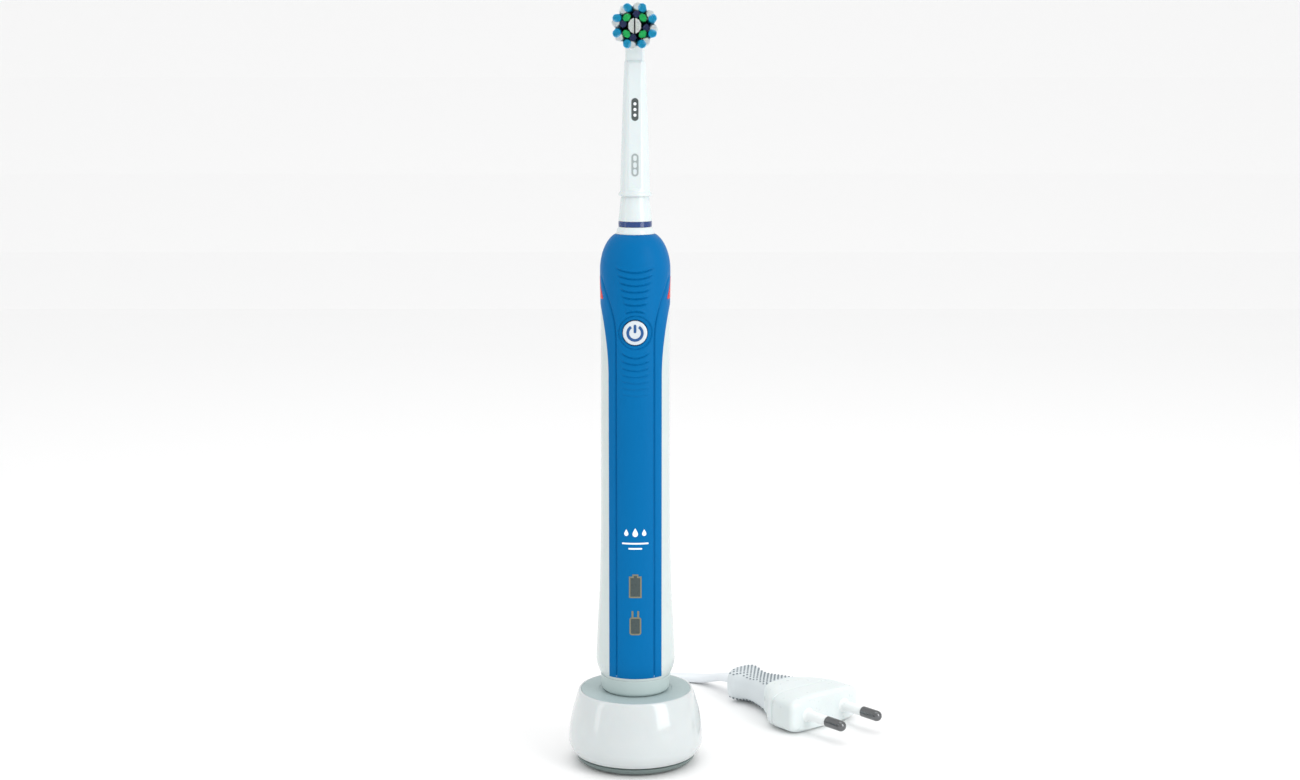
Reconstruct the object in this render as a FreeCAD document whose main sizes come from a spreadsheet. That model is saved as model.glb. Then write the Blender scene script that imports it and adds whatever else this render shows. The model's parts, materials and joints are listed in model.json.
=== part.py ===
import FreeCAD, Part

# Electric toothbrush standing on its round charger, with its mains cord and plug.
# Millimetres. +Z is up, the brush faces -Y, and the origin is the centre of the
# charger's underside. A Size carries both a number and the sheet expression it came
# from, so one formula places a shape and binds it to the spreadsheet.

import math
import os

import Sketcher
from FreeCAD import Placement, Rotation, Vector
from fcgear import fcgear, involute

SIZES = {
    # charger
    "foot_radius": 3.0, "foot_high": 1.2, "foot_sunk": 0.6, "foot_circle": 15.5,
    "seam_level": 3.4, "plate_radius": 21.2, "plate_thick": 2.0,
    "shell_foot_radius": 21.9, "belly_radius": 23.9, "belly_level": 8.0,
    "rim_radius": 20.4, "deck_level": 26.2, "shell_wall": 1.8, "lip_wide": 0.8,
    "deck_plate_thick": 0.8, "peg_radius": 4.2, "peg_high": 14.2, "peg_wall": 1.3,
    "ferrite_gap": 0.2, "bobbin_radius": 9.0, "bobbin_low": 9.0, "bobbin_high": 13.0,
    "board_level": 5.2, "board_thick": 1.2, "board_radius": 15.5,
    "gland_wide": 7.0, "gland_high": 4.0,
    # cord and plug
    "cord_wide": 5.2, "cord_thick": 3.2,
    "plug_thick": 13.7, "plug_half": 17.65, "plug_long": 48.0, "grip_end": 24.0,
    "pin_radius": 2.0, "pin_long": 19.0, "pin_pitch": 18.6,
    "sleeve_radius": 1.75, "sleeve_long": 10.0, "pin_core_radius": 1.5,
    # handle outside
    "cap_high": 5.8, "cap_radius": 12.38, "bulge_radius": 13.9, "waist_radius": 12.15,
    "chest_radius": 11.95, "shoulder_radius": 12.04, "shoulder_high": 12.6,
    "neck_radius": 6.67, "handle_long": 155.9, "skin_thick": 0.9, "housing_wall": 1.3,
    "panel_half": 9.0, "panel_gap": 0.9, "panel_open_drop": 42.0, "collar_drop": 24.4,
    "groove_half": 6.5, "groove_wide": 0.4, "relief": 0.3,
    "button_drop": 33.0, "button_radius": 4.2, "button_gap": 0.3, "press_room": 0.7,
    "ring_radius": 5.9, "symbol_radius": 2.95, "symbol_line": 0.95, "symbol_gap": 2.7,
    "symbol_thick": 0.12, "membrane_thick": 0.5, "button_thick": 1.9, "button_proud": 0.25,
    "lens_drop": 22.3, "lens_high": 9.0, "lens_front": 1.8, "panel_back_rise": 7.0,
    "charge_icon_level": 66.1, "charge_icon_wide": 4.6, "charge_icon_high": 8.6,
    "low_icon_level": 52.8, "low_icon_wide": 4.0, "low_icon_high": 8.2,
    # handle inside
    "peg_gap": 0.4, "tube_wall": 1.0, "coil_gap": 0.15, "coil_radius": 8.8,
    "chassis_gap": 0.25, "chassis_wall": 0.8, "deck_thick": 1.2,
    "cell_radius": 7.25, "cell_long": 50.0, "cell_back": 0.6, "contact_high": 1.4,
    "main_board_front": 8.0, "main_board_half": 5.0, "main_board_thick": 1.0,
    "can_radius": 6.2, "can_long": 22.0, "can_wall": 0.5, "armature_radius": 4.4,
    "rotor_shaft_radius": 0.75, "tooth_module": 0.35, "mesh_gap": 0.08,
    "gear_wide": 2.4, "swing_angle": 24.0, "crank_reach": 4.6, "crank_pin_radius": 0.55,
    "shaft_radius": 1.5, "running_gap": 0.05, "shaft_out": 27.0, "pivot_gap": 0.25,
    "arm_thick": 2.2, "arm_half": 1.7, "spigot_radius": 3.9, "spigot_high": 8.2,
    # brush head
    "collar_high": 2.4, "collar_radius": 5.79, "band_high": 1.9, "head_gap": 0.3,
    "flange_level": 11.1, "flange_radius": 5.76, "throat_radius": 5.1,
    "slim_radius": 3.55, "slim_level": 55.9, "stem_radius": 2.8, "head_level": 67.7,
    "cup_radius": 6.7, "cup_wall": 1.0, "cup_front": 3.3, "cup_back": 3.4,
    "axle_radius": 0.8, "link_radius": 0.7, "finger_reach": 3.0, "finger_drop": 2.9,
    "finger_radius": 0.5, "finger_stem_radius": 0.3, "carrier_radius": 6.5,
    "carrier_thick": 1.2, "hub_radius": 5.2, "hub_thick": 1.2, "tuft_long": 8.6,
    "tuft_sunk": 0.8,
}

CORD_ROUTE = [
    (0.0, 30.0, 5.4), (0.0, 38.0, 5.4), (-0.5, 46.5, 3.8), (-1.4, 56.0, 2.1),
    (-1.7, 66.0, 1.6), (-0.9, 75.5, 1.6), (1.8, 84.2, 1.6), (6.8, 90.4, 1.6),
    (13.4, 93.4, 1.6), (20.6, 92.8, 1.6), (27.0, 89.4, 2.3), (31.8, 83.6, 4.6),
    (35.6, 77.2, 6.85), (40.4, 71.4, 6.85),
]

MOTOR_TEETH = 10
CRANK_TEETH = 20
PRESSURE_ANGLE = 25

RIBS_ABOVE = 7
RIBS_BELOW = 6

OUTER_TUFTS = 8
INNER_TUFTS = 4

UP = Vector(0, 0, 1)
BACK = Vector(0, 1, 0)
RIGHT = Vector(1, 0, 0)

doc = FreeCAD.newDocument("electric_toothbrush")
sheet = doc.addObject("Spreadsheet::Sheet", "sizes")
for row, (alias, value) in enumerate(SIZES.items(), start=1):
    sheet.set(f"A{row}", alias)
    sheet.set(f"B{row}", str(value))
    sheet.setAlias(f"B{row}", alias)
doc.recompute()


class Size:
    """A number together with the sheet expression that gives it."""

    def __init__(self, value, text):
        self.value = float(value)
        self.text = text

    def __float__(self):
        return self.value

    def combine(self, other, sign, flip=False):
        other = as_size(other)
        left, right = (other, self) if flip else (self, other)
        value = {
            "+": lambda: left.value + right.value,
            "-": lambda: left.value - right.value,
            "*": lambda: left.value * right.value,
            "/": lambda: left.value / right.value,
        }[sign]()
        return Size(value, f"({left.text} {sign} {right.text})")

    def __add__(self, other):
        return self.combine(other, "+")

    def __radd__(self, other):
        return self.combine(other, "+", True)

    def __sub__(self, other):
        return self.combine(other, "-")

    def __rsub__(self, other):
        return self.combine(other, "-", True)

    def __mul__(self, other):
        return self.combine(other, "*")

    def __rmul__(self, other):
        return self.combine(other, "*", True)

    def __truediv__(self, other):
        return self.combine(other, "/")

    def __neg__(self):
        return self.combine(-1, "*")


class SheetSizes:
    """Reads a cell of the sheet as a Size: S.peg_radius is the cell named peg_radius."""

    def __getattr__(self, alias):
        return Size(sheet.get(alias), f"sizes.{alias}")


def as_size(value):
    return value if isinstance(value, Size) else Size(value, repr(float(value)))


S = SheetSizes()

# Levels shared by several pieces, from the table up.
DECK = S.deck_level
CAP_TOP = DECK + S.cap_high
NECK = CAP_TOP + S.handle_long
SHOULDER = NECK - S.shoulder_high
BUTTON = NECK - S.button_drop
PEG_TOP = DECK + S.peg_high
TUBE_RADIUS = S.peg_radius + S.peg_gap + S.tube_wall
TUBE_TOP = PEG_TOP + 2 * S.peg_gap + S.tube_wall
CAVITY = S.chest_radius - S.skin_thick - S.housing_wall
CHASSIS_RADIUS = CAVITY - S.chassis_gap
CHASSIS_LOW = TUBE_TOP + 1.6
CELL_LOW = CHASSIS_LOW + S.deck_thick + S.contact_high
CELL_TOP = CELL_LOW + S.cell_long
MID_DECK = CELL_TOP + 1.0 + S.contact_high
CAN_LOW = MID_DECK + S.deck_thick + 1.5
CAN_TOP = CAN_LOW + S.can_long
GEAR_DECK = CAN_TOP
GEAR_LOW = GEAR_DECK + S.deck_thick + 2.2
GEAR_TOP = GEAR_LOW + S.gear_wide
PIN_TOP = GEAR_TOP + 1.9
ARM_LOW = PIN_TOP + S.pivot_gap
ARM_TOP = ARM_LOW + S.arm_thick
BEARING_DECK = ARM_TOP + 2.0
CHASSIS_TOP = BEARING_DECK + S.deck_thick
MESH = S.tooth_module * ((MOTOR_TEETH + CRANK_TEETH) / 2) + S.mesh_gap
MOTOR_Y = S.crank_reach - MESH
COLLAR_TOP = NECK + S.collar_high
BAND_TOP = COLLAR_TOP + S.band_high
SHAFT_TOP = COLLAR_TOP + S.shaft_out
HEAD = COLLAR_TOP + S.head_level
FINGER = HEAD - S.finger_drop

nodes = []


def place(obj, at, axis=UP):
    """Puts obj at a point made of Sizes, with its own Z along axis, bound to the sheet."""
    at = [as_size(value) for value in at]
    obj.Placement = Placement(Vector(*map(float, at)), Rotation(UP, axis))
    for letter, value in zip("xyz", at):
        obj.setExpression(f"Placement.Base.{letter}", value.text)
    return obj


def cylinder(name, radius, high, at=(0, 0, 0), axis=UP):
    obj = doc.addObject("Part::Cylinder", name)
    obj.setExpression("Radius", as_size(radius).text)
    obj.setExpression("Height", as_size(high).text)
    return place(obj, at, axis)


def cone(name, low_radius, high_radius, high, at=(0, 0, 0), axis=UP):
    obj = doc.addObject("Part::Cone", name)
    obj.setExpression("Radius1", as_size(low_radius).text)
    obj.setExpression("Radius2", as_size(high_radius).text)
    obj.setExpression("Height", as_size(high).text)
    return place(obj, at, axis)


def block(name, low, high):
    """A box from its low corner to its high corner."""
    obj = doc.addObject("Part::Box", name)
    low = [as_size(value) for value in low]
    high = [as_size(value) for value in high]
    for side, start, end in zip(("Length", "Width", "Height"), low, high):
        obj.setExpression(side, (end - start).text)
    return place(obj, low)


def ball(name, radius, at):
    obj = doc.addObject("Part::Sphere", name)
    obj.setExpression("Radius", as_size(radius).text)
    return place(obj, at)


def fuse(name, *pieces):
    obj = doc.addObject("Part::MultiFuse", name)
    obj.Shapes = list(pieces)
    return obj


def group(name, *pieces):
    obj = doc.addObject("Part::Compound", name)
    obj.Links = list(pieces)
    return obj


def cut(name, base, *tools):
    obj = doc.addObject("Part::Cut", name)
    obj.Base = base
    obj.Tool = tools[0] if len(tools) == 1 else fuse(f"{name}_cutters", *tools)
    return obj


def common(name, first, second):
    obj = doc.addObject("Part::MultiCommon", name)
    obj.Shapes = [first, second]
    return obj


def ring(name, inner, outer, low, high, at=(0, 0)):
    """A plain tube standing on a level."""
    x, y = at
    wall = cylinder(f"{name}_outside", outer, high - low, (x, y, low))
    hole = cylinder(f"{name}_hole", inner, high - low, (x, y, low))
    return cut(name, wall, hole)


def shaped(name, shape, at=(0, 0, 0), axis=UP):
    """A Part::Feature for the few pieces that neither sketches nor primitives suit."""
    obj = doc.addObject("Part::Feature", name)
    obj.Shape = shape
    return place(obj, at, axis)


def node(name, obj):
    """Marks obj as the sub-part of that name."""
    obj.Label = name
    nodes.append(obj)
    return obj


class Bend(tuple):
    """A point that a curved stretch of an outline passes through."""


def add_outline(sketch, points):
    """Draws a closed outline: plain points are corners, Bends make the stretch curved."""
    corners = [i for i, point in enumerate(points) if not isinstance(point, Bend)]
    plane_point = lambda p: Vector(float(p[0]), float(p[1]), 0)
    links = []
    for k, start in enumerate(corners):
        end = corners[(k + 1) % len(corners)]
        last = end if end > start else end + len(points)
        stretch = [plane_point(points[i % len(points)]) for i in range(start, last + 1)]
        if len(stretch) == 2:
            curve = Part.LineSegment(*stretch)
        elif len(stretch) == 3:
            curve = Part.Arc(*stretch)
        else:
            curve = Part.BSplineCurve()
            curve.interpolate(stretch)
        edge = sketch.addGeometry(curve, False)
        forward = curve.value(curve.FirstParameter).isEqual(stretch[0], 1e-6)
        links.append((edge, (1, 2) if forward else (2, 1)))
    rules = []
    names = []
    for k, (edge, (first, _)) in enumerate(links):
        before, (_, before_end) = links[k - 1]
        rules.append(Sketcher.Constraint("Coincident", before, before_end, edge, first))
        names.append(None)
        for kind, size in zip(("DistanceX", "DistanceY"), points[corners[k]]):
            size = as_size(size)
            if abs(float(size)) < 1e-9:
                axis = -2 if kind == "DistanceX" else -1
                rules.append(Sketcher.Constraint("PointOnObject", edge, first, axis))
                names.append(None)
            else:
                rules.append(Sketcher.Constraint(kind, -1, 1, edge, first, float(size)))
                names.append((f"{kind}_{k}", size))
    sketch.addConstraint(rules)
    for index, named in enumerate(names):
        if named:
            sketch.renameConstraint(index, named[0])
            sketch.setExpression(f"Constraints.{named[0]}", named[1].text)


def body_with_sketch(name, role, points):
    body = doc.addObject("PartDesign::Body", name)
    sketch = body.newObject("Sketcher::SketchObject", f"{name}_sketch")
    plane = next(item for item in body.Origin.OriginFeatures if item.Role == role)
    sketch.AttachmentSupport = [(plane, "")]
    sketch.MapMode = "FlatFace"
    add_outline(sketch, points)
    return body, sketch


def lathe(name, points):
    """Turns an outline of (radius, level) points about the Z axis."""
    body, sketch = body_with_sketch(name, "XZ_Plane", points)
    turned = body.newObject("PartDesign::Revolution", f"{name}_turned")
    turned.Profile = sketch
    turned.ReferenceAxis = (sketch, ["V_Axis"])
    turned.Angle = 360
    return body


def prism(name, points, long, start=0, role="XZ_Plane"):
    """Pads an outline: towards -Y from the XZ plane, or upwards from the XY plane."""
    body, sketch = body_with_sketch(name, role, points)
    sketch.setExpression("AttachmentOffset.Base.z", as_size(start).text)
    pad = body.newObject("PartDesign::Pad", f"{name}_pad")
    pad.Profile = sketch
    pad.setExpression("Length", as_size(long).text)
    return body


def stadium(x_half, low, high, radius):
    """A rectangle with rounded corners."""
    bow = 1 - math.sqrt(0.5)
    return [
        (-x_half + radius, low), (x_half - radius, low),
        Bend((x_half - radius * bow, low + radius * bow)), (x_half, low + radius),
        (x_half, high - radius),
        Bend((x_half - radius * bow, high - radius * bow)), (x_half - radius, high),
        (-x_half + radius, high),
        Bend((-x_half + radius * bow, high - radius * bow)), (-x_half, high - radius),
        (-x_half, low + radius),
        Bend((-x_half + radius * bow, low + radius * bow)),
    ]


# ---------------------------------------------------------------- charger


def build_charger():
    foot_places = [(sx, sy) for sx in (-1, 1) for sy in (-1, 1)]
    foot_reach = S.foot_circle / math.sqrt(2)
    feet = [
        cylinder(f"foot_{i}", S.foot_radius, S.foot_high, (sx * foot_reach, sy * foot_reach, 0))
        for i, (sx, sy) in enumerate(foot_places)
    ]
    node("charger_feet", group("feet", *feet))

    low = S.foot_high - S.foot_sunk
    rim_in = S.shell_foot_radius - S.shell_wall - S.head_gap / 2
    plate = lathe("plate_turned", [
        (0, low), (S.plate_radius - 1.4, low), (S.plate_radius, low + 1.2),
        (S.plate_radius, S.seam_level), (rim_in, S.seam_level),
        (rim_in, S.seam_level + 1.6), (rim_in - 1.2, S.seam_level + 1.6),
        (rim_in - 1.2, low + S.plate_thick), (0, low + S.plate_thick),
    ])
    seats = [
        cylinder(f"foot_seat_{i}", S.foot_radius, S.foot_sunk, (sx * foot_reach, sy * foot_reach, low))
        for i, (sx, sy) in enumerate(foot_places)
    ]
    gland_way = block(
        "gland_way", (-S.gland_wide / 2, 10, S.seam_level),
        (S.gland_wide / 2, S.belly_radius + 4, S.seam_level + S.gland_high),
    )
    node("charger_base_plate", cut("base_plate", plate, gland_way, *seats))

    inner_foot = S.shell_foot_radius - S.shell_wall
    ceiling = DECK - S.deck_plate_thick - S.shell_wall
    shell = lathe("shell_turned", [
        (S.shell_foot_radius, S.seam_level),
        Bend((S.belly_radius - 0.5, (S.seam_level + S.belly_level) / 2 - 0.3)),
        (S.belly_radius, S.belly_level),
        Bend(((S.belly_radius + S.rim_radius) / 2 + 0.75, (S.belly_level + DECK) / 2)),
        (S.rim_radius, DECK - 0.5),
        Bend((S.rim_radius - 0.2, DECK - 0.1)),
        (S.rim_radius - 0.6, DECK), (S.rim_radius - S.lip_wide, DECK),
        (S.rim_radius - S.lip_wide, DECK - S.deck_plate_thick),
        (S.peg_radius, DECK - S.deck_plate_thick), (S.peg_radius, PEG_TOP - 0.8),
        (S.peg_radius - 0.8, PEG_TOP), (0, PEG_TOP), (0, PEG_TOP - S.peg_wall),
        (S.peg_radius - S.peg_wall, PEG_TOP - S.peg_wall), (S.peg_radius - S.peg_wall, ceiling),
        (S.rim_radius - S.shell_wall - 0.6, ceiling),
        (S.belly_radius - S.shell_wall, S.belly_level), (inner_foot, S.seam_level),
    ])
    node("charger_shell", cut("shell", shell, gland_way))

    node("charger_deck_plate", ring(
        "deck_plate", S.peg_radius, S.rim_radius - S.lip_wide,
        DECK - S.deck_plate_thick, DECK))

    ferrite_radius = S.peg_radius - S.peg_wall - S.ferrite_gap
    node("ferrite_core", cylinder(
        "ferrite", ferrite_radius, PEG_TOP - S.peg_wall - S.ferrite_gap - S.bobbin_low,
        (0, 0, S.bobbin_low)))
    bobbin_top = S.bobbin_low + S.bobbin_high
    node("primary_bobbin", lathe("bobbin", [
        (ferrite_radius, S.bobbin_low), (S.bobbin_radius, S.bobbin_low),
        (S.bobbin_radius, S.bobbin_low + 1), (ferrite_radius + 1.2, S.bobbin_low + 1),
        (ferrite_radius + 1.2, bobbin_top - 1), (S.bobbin_radius, bobbin_top - 1),
        (S.bobbin_radius, bobbin_top), (ferrite_radius, bobbin_top),
    ]))
    node("primary_winding", ring(
        "winding", ferrite_radius + 1.2, S.bobbin_radius - 0.6,
        S.bobbin_low + 1, bobbin_top - 1))

    board_top = S.board_level + S.board_thick
    node("charger_board", cylinder("board", S.board_radius, S.board_thick, (0, 0, S.board_level)))
    posts = [
        cylinder(f"post_{i}", 1.6, S.board_level - low - S.plate_thick,
                 (10 * sx, 10 * sy, low + S.plate_thick))
        for i, (sx, sy) in enumerate(foot_places)
    ]
    node("board_posts", group("posts", *posts))
    node("smoothing_capacitor", cylinder("capacitor", 3.0, 9.0, (-12, 0, board_top)))
    chips = [
        block(f"chip_{i}", (x, y, board_top), (x + wide, y + 2.4, board_top + 1.4))
        for i, (x, y, wide) in enumerate(((10.6, -1.2, 3.6), (-1.8, -13.0, 3.6), (-1.8, 10.6, 3.6)))
    ]
    node("charger_chips", group("chips", *chips))

    middle = S.seam_level + S.gland_high / 2
    inside = S.board_radius + 1.0
    flange = block(
        "gland_flange", (-S.gland_wide / 2 - 1.2, inside, S.seam_level),
        (S.gland_wide / 2 + 1.2, inside + 1.4, S.seam_level + S.gland_high))
    start = inside + 1.4
    neck = block(
        "gland_neck", (-S.gland_wide / 2, start, S.seam_level),
        (S.gland_wide / 2, S.belly_radius + 0.4, S.seam_level + S.gland_high))
    tail_start = S.belly_radius + 0.4
    tail = [
        block(
            f"gland_rib_{i}",
            (-half, tail_start + back, middle - high), (half, tail_start + back + long, middle + high))
        for i, (half, high, back, long) in enumerate((
            (3.3, 1.9, 0.0, 1.2), (2.7, 1.7, 1.2, 0.5), (3.2, 1.9, 1.7, 1.2), (2.7, 1.7, 2.9, 0.5),
            (3.1, 1.8, 3.4, 1.2), (2.7, 1.65, 4.6, 1.1)))
    ]
    node("cord_gland", fuse("gland", flange, neck, *tail))


# ---------------------------------------------------------------- cord and plug


def rounded_wire(points):
    """Straight runs joined by tangent arcs, each as large as its two runs allow."""
    points = [Vector(*point) for point in points]
    edges = []
    radii = []
    start = points[0]
    for before, corner, after in zip(points, points[1:], points[2:]):
        into = corner - before
        out = after - corner
        turn = into.getAngle(out)
        cut_back = 0.45 * min(into.Length, out.Length)
        radii.append(cut_back / math.tan(turn / 2))
        into_dir = Vector(into).normalize()
        out_dir = Vector(out).normalize()
        first = corner - into_dir * cut_back
        last = corner + out_dir * cut_back
        inward = (out_dir - into_dir).normalize()
        to_centre = radii[-1] / math.cos(turn / 2)
        middle = corner + inward * (to_centre - radii[-1])
        edges.append(Part.LineSegment(start, first))
        edges.append(Part.Arc(first, middle, last))
        start = last
    edges.append(Part.LineSegment(start, points[-1]))
    return Part.Wire([edge.toShape() for edge in edges]), radii


def build_cord():
    """The flat twin lead, its wide side level all the way."""
    route, radii = rounded_wire(CORD_ROUTE)
    print("cord arcs, radius in mm:", [round(radius, 1) for radius in radii])
    half = float(S.cord_wide) / 2
    thick = float(S.cord_thick) / 2
    flat = half - thick
    start = Vector(*CORD_ROUTE[0])
    at = lambda x, z: start + Vector(x, 0, z)
    section = Part.Wire([
        Part.LineSegment(at(-flat, -thick), at(flat, -thick)).toShape(),
        Part.Arc(at(flat, -thick), at(half, 0), at(flat, thick)).toShape(),
        Part.LineSegment(at(flat, thick), at(-flat, thick)).toShape(),
        Part.Arc(at(-flat, thick), at(-half, 0), at(-flat, -thick)).toShape(),
    ])
    sweep = Part.BRepOffsetAPI.MakePipeShell(route)
    sweep.setBiNormalMode(UP)
    sweep.add(section, False, False)
    sweep.build()
    sweep.makeSolid()
    solid = sweep.shape()
    expected = Part.Face(section).Area * route.Length
    print(f"cord length {route.Length:.1f} mm, volume {solid.Volume:.1f}, expected {expected:.1f}")
    node("mains_cord", shaped("cord", solid))


def plug_outline(first, last):
    """The plug's half outlines seen from above, between two lengths, as closed points."""
    half = S.plug_half
    rear = [(0.0, 7.0), (1.2, 8.0), (4.0, 8.0), (6.0, 6.6), (9.0, 5.8), (14.0, 6.0)]
    profile = [(as_size(u), as_size(v)) for u, v in rear]
    profile += [(S.grip_end, half * 0.52), (S.grip_end + 5.5, half * 0.75)]
    profile += [(S.grip_end + 10.5, half * 0.96), (S.grip_end + 13.0, half)]
    profile += [(S.plug_long - 2.5, half), (S.plug_long, half - 2.5)]
    chosen = [(u, v) for u, v in profile if float(first) - 1e-6 <= float(u) <= float(last) + 1e-6]
    return [(u, -v) for u, v in chosen] + [(u, v) for u, v in reversed(chosen)]


def rounded_edges(name, base, radius):
    """Rounds the long edges round the top and bottom of a flat moulding."""
    obj = doc.addObject("Part::Fillet", name)
    obj.Base = base
    doc.recompute()
    box = base.Shape.BoundBox
    level = lambda edge: max(
        min(abs(v.Point.z - box.ZMin), abs(v.Point.z - box.ZMax)) for v in edge.Vertexes)
    flat_edges = [
        index for index, edge in enumerate(base.Shape.Edges, start=1)
        if level(edge) < 1e-6 and abs(edge.Vertexes[0].Point.z - edge.Vertexes[-1].Point.z) < 1e-6
        and not (abs(edge.Vertexes[0].Point.x - edge.Vertexes[-1].Point.x) < 1e-6
                 and abs(edge.Vertexes[0].Point.x - float(S.grip_end)) < 1e-6)
    ]
    obj.Edges = [(index, float(radius), float(radius)) for index in flat_edges]
    return obj


def build_plug():
    """A flat two-pin plug lying on the table, made along X and turned into place."""
    direction = Vector(*CORD_ROUTE[-1]) - Vector(*CORD_ROUTE[-2])
    heading = math.degrees(math.atan2(direction.y, direction.x))
    rear = Vector(CORD_ROUTE[-1][0], CORD_ROUTE[-1][1], 0)
    lying = Placement(rear, Rotation(UP, heading))

    grip = prism("grip_block", plug_outline(0, S.grip_end), S.plug_thick - 1.2, 0.6, "XY_Plane")
    body = prism("plug_block", plug_outline(S.grip_end, S.plug_long), S.plug_thick, 0, "XY_Plane")
    for name, raw, radius in (("plug_grip", grip, 1.0), ("plug_body", body, 2.4)):
        obj = rounded_edges(f"{name}_rounded", raw, radius)
        obj.Placement = lying
        node(name, obj)

    middle = S.plug_thick / 2
    sleeves = []
    pins = []
    for side in (-1, 1):
        across = side * S.pin_pitch / 2
        tag = "left" if side > 0 else "right"
        sleeve = cylinder(
            f"sleeve_{tag}", S.sleeve_radius, S.sleeve_long, (S.plug_long, across, middle), RIGHT)
        hole = cylinder(
            f"sleeve_hole_{tag}", S.pin_core_radius, S.sleeve_long,
            (S.plug_long, across, middle), RIGHT)
        sleeves.append(cut(f"sleeve_tube_{tag}", sleeve, hole))
        core = cylinder(
            f"pin_core_{tag}", S.pin_core_radius, S.sleeve_long,
            (S.plug_long, across, middle), RIGHT)
        tip_start = S.plug_long + S.sleeve_long
        barrel = cylinder(
            f"pin_barrel_{tag}", S.pin_radius, S.pin_long - S.sleeve_long - S.pin_radius,
            (tip_start, across, middle), RIGHT)
        tip = ball(
            f"pin_ball_{tag}", S.pin_radius,
            (S.plug_long + S.pin_long - S.pin_radius, across, middle))
        pins.append(fuse(f"pin_{tag}", core, barrel, tip))
    for name, pieces in (("plug_pin_sleeves", sleeves), ("plug_pins", pins)):
        obj = group(f"{name}_pair", *pieces)
        obj.Placement = lying
        node(name, obj)


# ---------------------------------------------------------------- handle


def handle_side(shrink):
    """(radius, level) points up the handle's side, shrink inside its surface."""
    upper = SHOULDER
    points = [
        (S.cap_radius, CAP_TOP), (S.bulge_radius - 0.14, CAP_TOP + 4.2),
        (S.bulge_radius, CAP_TOP + 7.9), (S.bulge_radius - 0.52, CAP_TOP + 18.9),
        (S.waist_radius + 0.48, CAP_TOP + 33.4), (S.waist_radius, CAP_TOP + 62.3),
        (S.chest_radius, SHOULDER - 17.4), (S.shoulder_radius, upper),
    ]
    return [(radius - shrink, level) for radius, level in points]


def shoulder_arc(shrink):
    """(radius, level) points over the shoulder, a quarter of an ellipse cut at the neck."""
    high = S.shoulder_high * 1.048 - shrink
    steep = math.sqrt(1 - (1 / 1.048) ** 2)
    wide = (S.shoulder_radius - S.neck_radius) / (1 - steep) - shrink
    points = []
    for degrees in (20, 36, 50, 62):
        along = math.sin(math.radians(degrees))
        inward = 1 - math.cos(math.radians(degrees))
        points.append((S.shoulder_radius - shrink - wide * inward, SHOULDER + high * along))
    return points


def handle_form(name, shrink):
    """The handle's solid outer form, shrink millimetres inside its surface."""
    side = handle_side(shrink)
    bends = [Bend(point) for point in side[1:-1]]
    arc = [Bend(point) for point in shoulder_arc(shrink)]
    top = NECK - shrink
    return lathe(name, [
        (0, CAP_TOP), side[0], *bends, side[-1], *arc, (S.neck_radius - shrink * 0.4, top), (0, top),
    ])


def arc_bar(low, radius, half_wide, bar, smile):
    """A curved bar in the XZ plane, its ends up for a smile or down for a frown."""
    centre = low + radius if smile else low - radius
    swing = math.asin(half_wide / radius)
    facing = -math.pi / 2 if smile else math.pi / 2
    point = lambda r, a: Vector(r * math.cos(facing + a), 0, centre + r * math.sin(facing + a))
    inner = radius - bar / 2
    outer = radius + bar / 2
    edges = [
        Part.Arc(point(inner, -swing), point(inner, 0), point(inner, swing)),
        Part.LineSegment(point(inner, swing), point(outer, swing)),
        Part.Arc(point(outer, swing), point(outer, 0), point(outer, -swing)),
        Part.LineSegment(point(outer, -swing), point(inner, -swing)),
    ]
    return Part.Face(Part.Wire([edge.toShape() for edge in edges]))


def rib_bars():
    """The grip's ribs above and below the button, as bars reaching forward."""
    button = float(BUTTON)
    reach = Vector(0, -float(S.bulge_radius) - 2, 0)
    bars = []
    for i in range(RIBS_ABOVE - 1):
        half_wide = 3.9 + 0.35 * i
        bars.append(arc_bar(button + 9.6 + 2.2 * i, 14.0, half_wide, 0.9, True))
    bars.append(arc_bar(button + 7.6, 7.6, 3.6, 0.9, False))
    for i in range(RIBS_BELOW):
        bars.append(arc_bar(button - 7.8 - 2.4 * i, 8.0 + 6.0 * i, 4.5, 0.9, True))
    return Part.makeCompound([bar.extrude(reach) for bar in bars])


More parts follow.
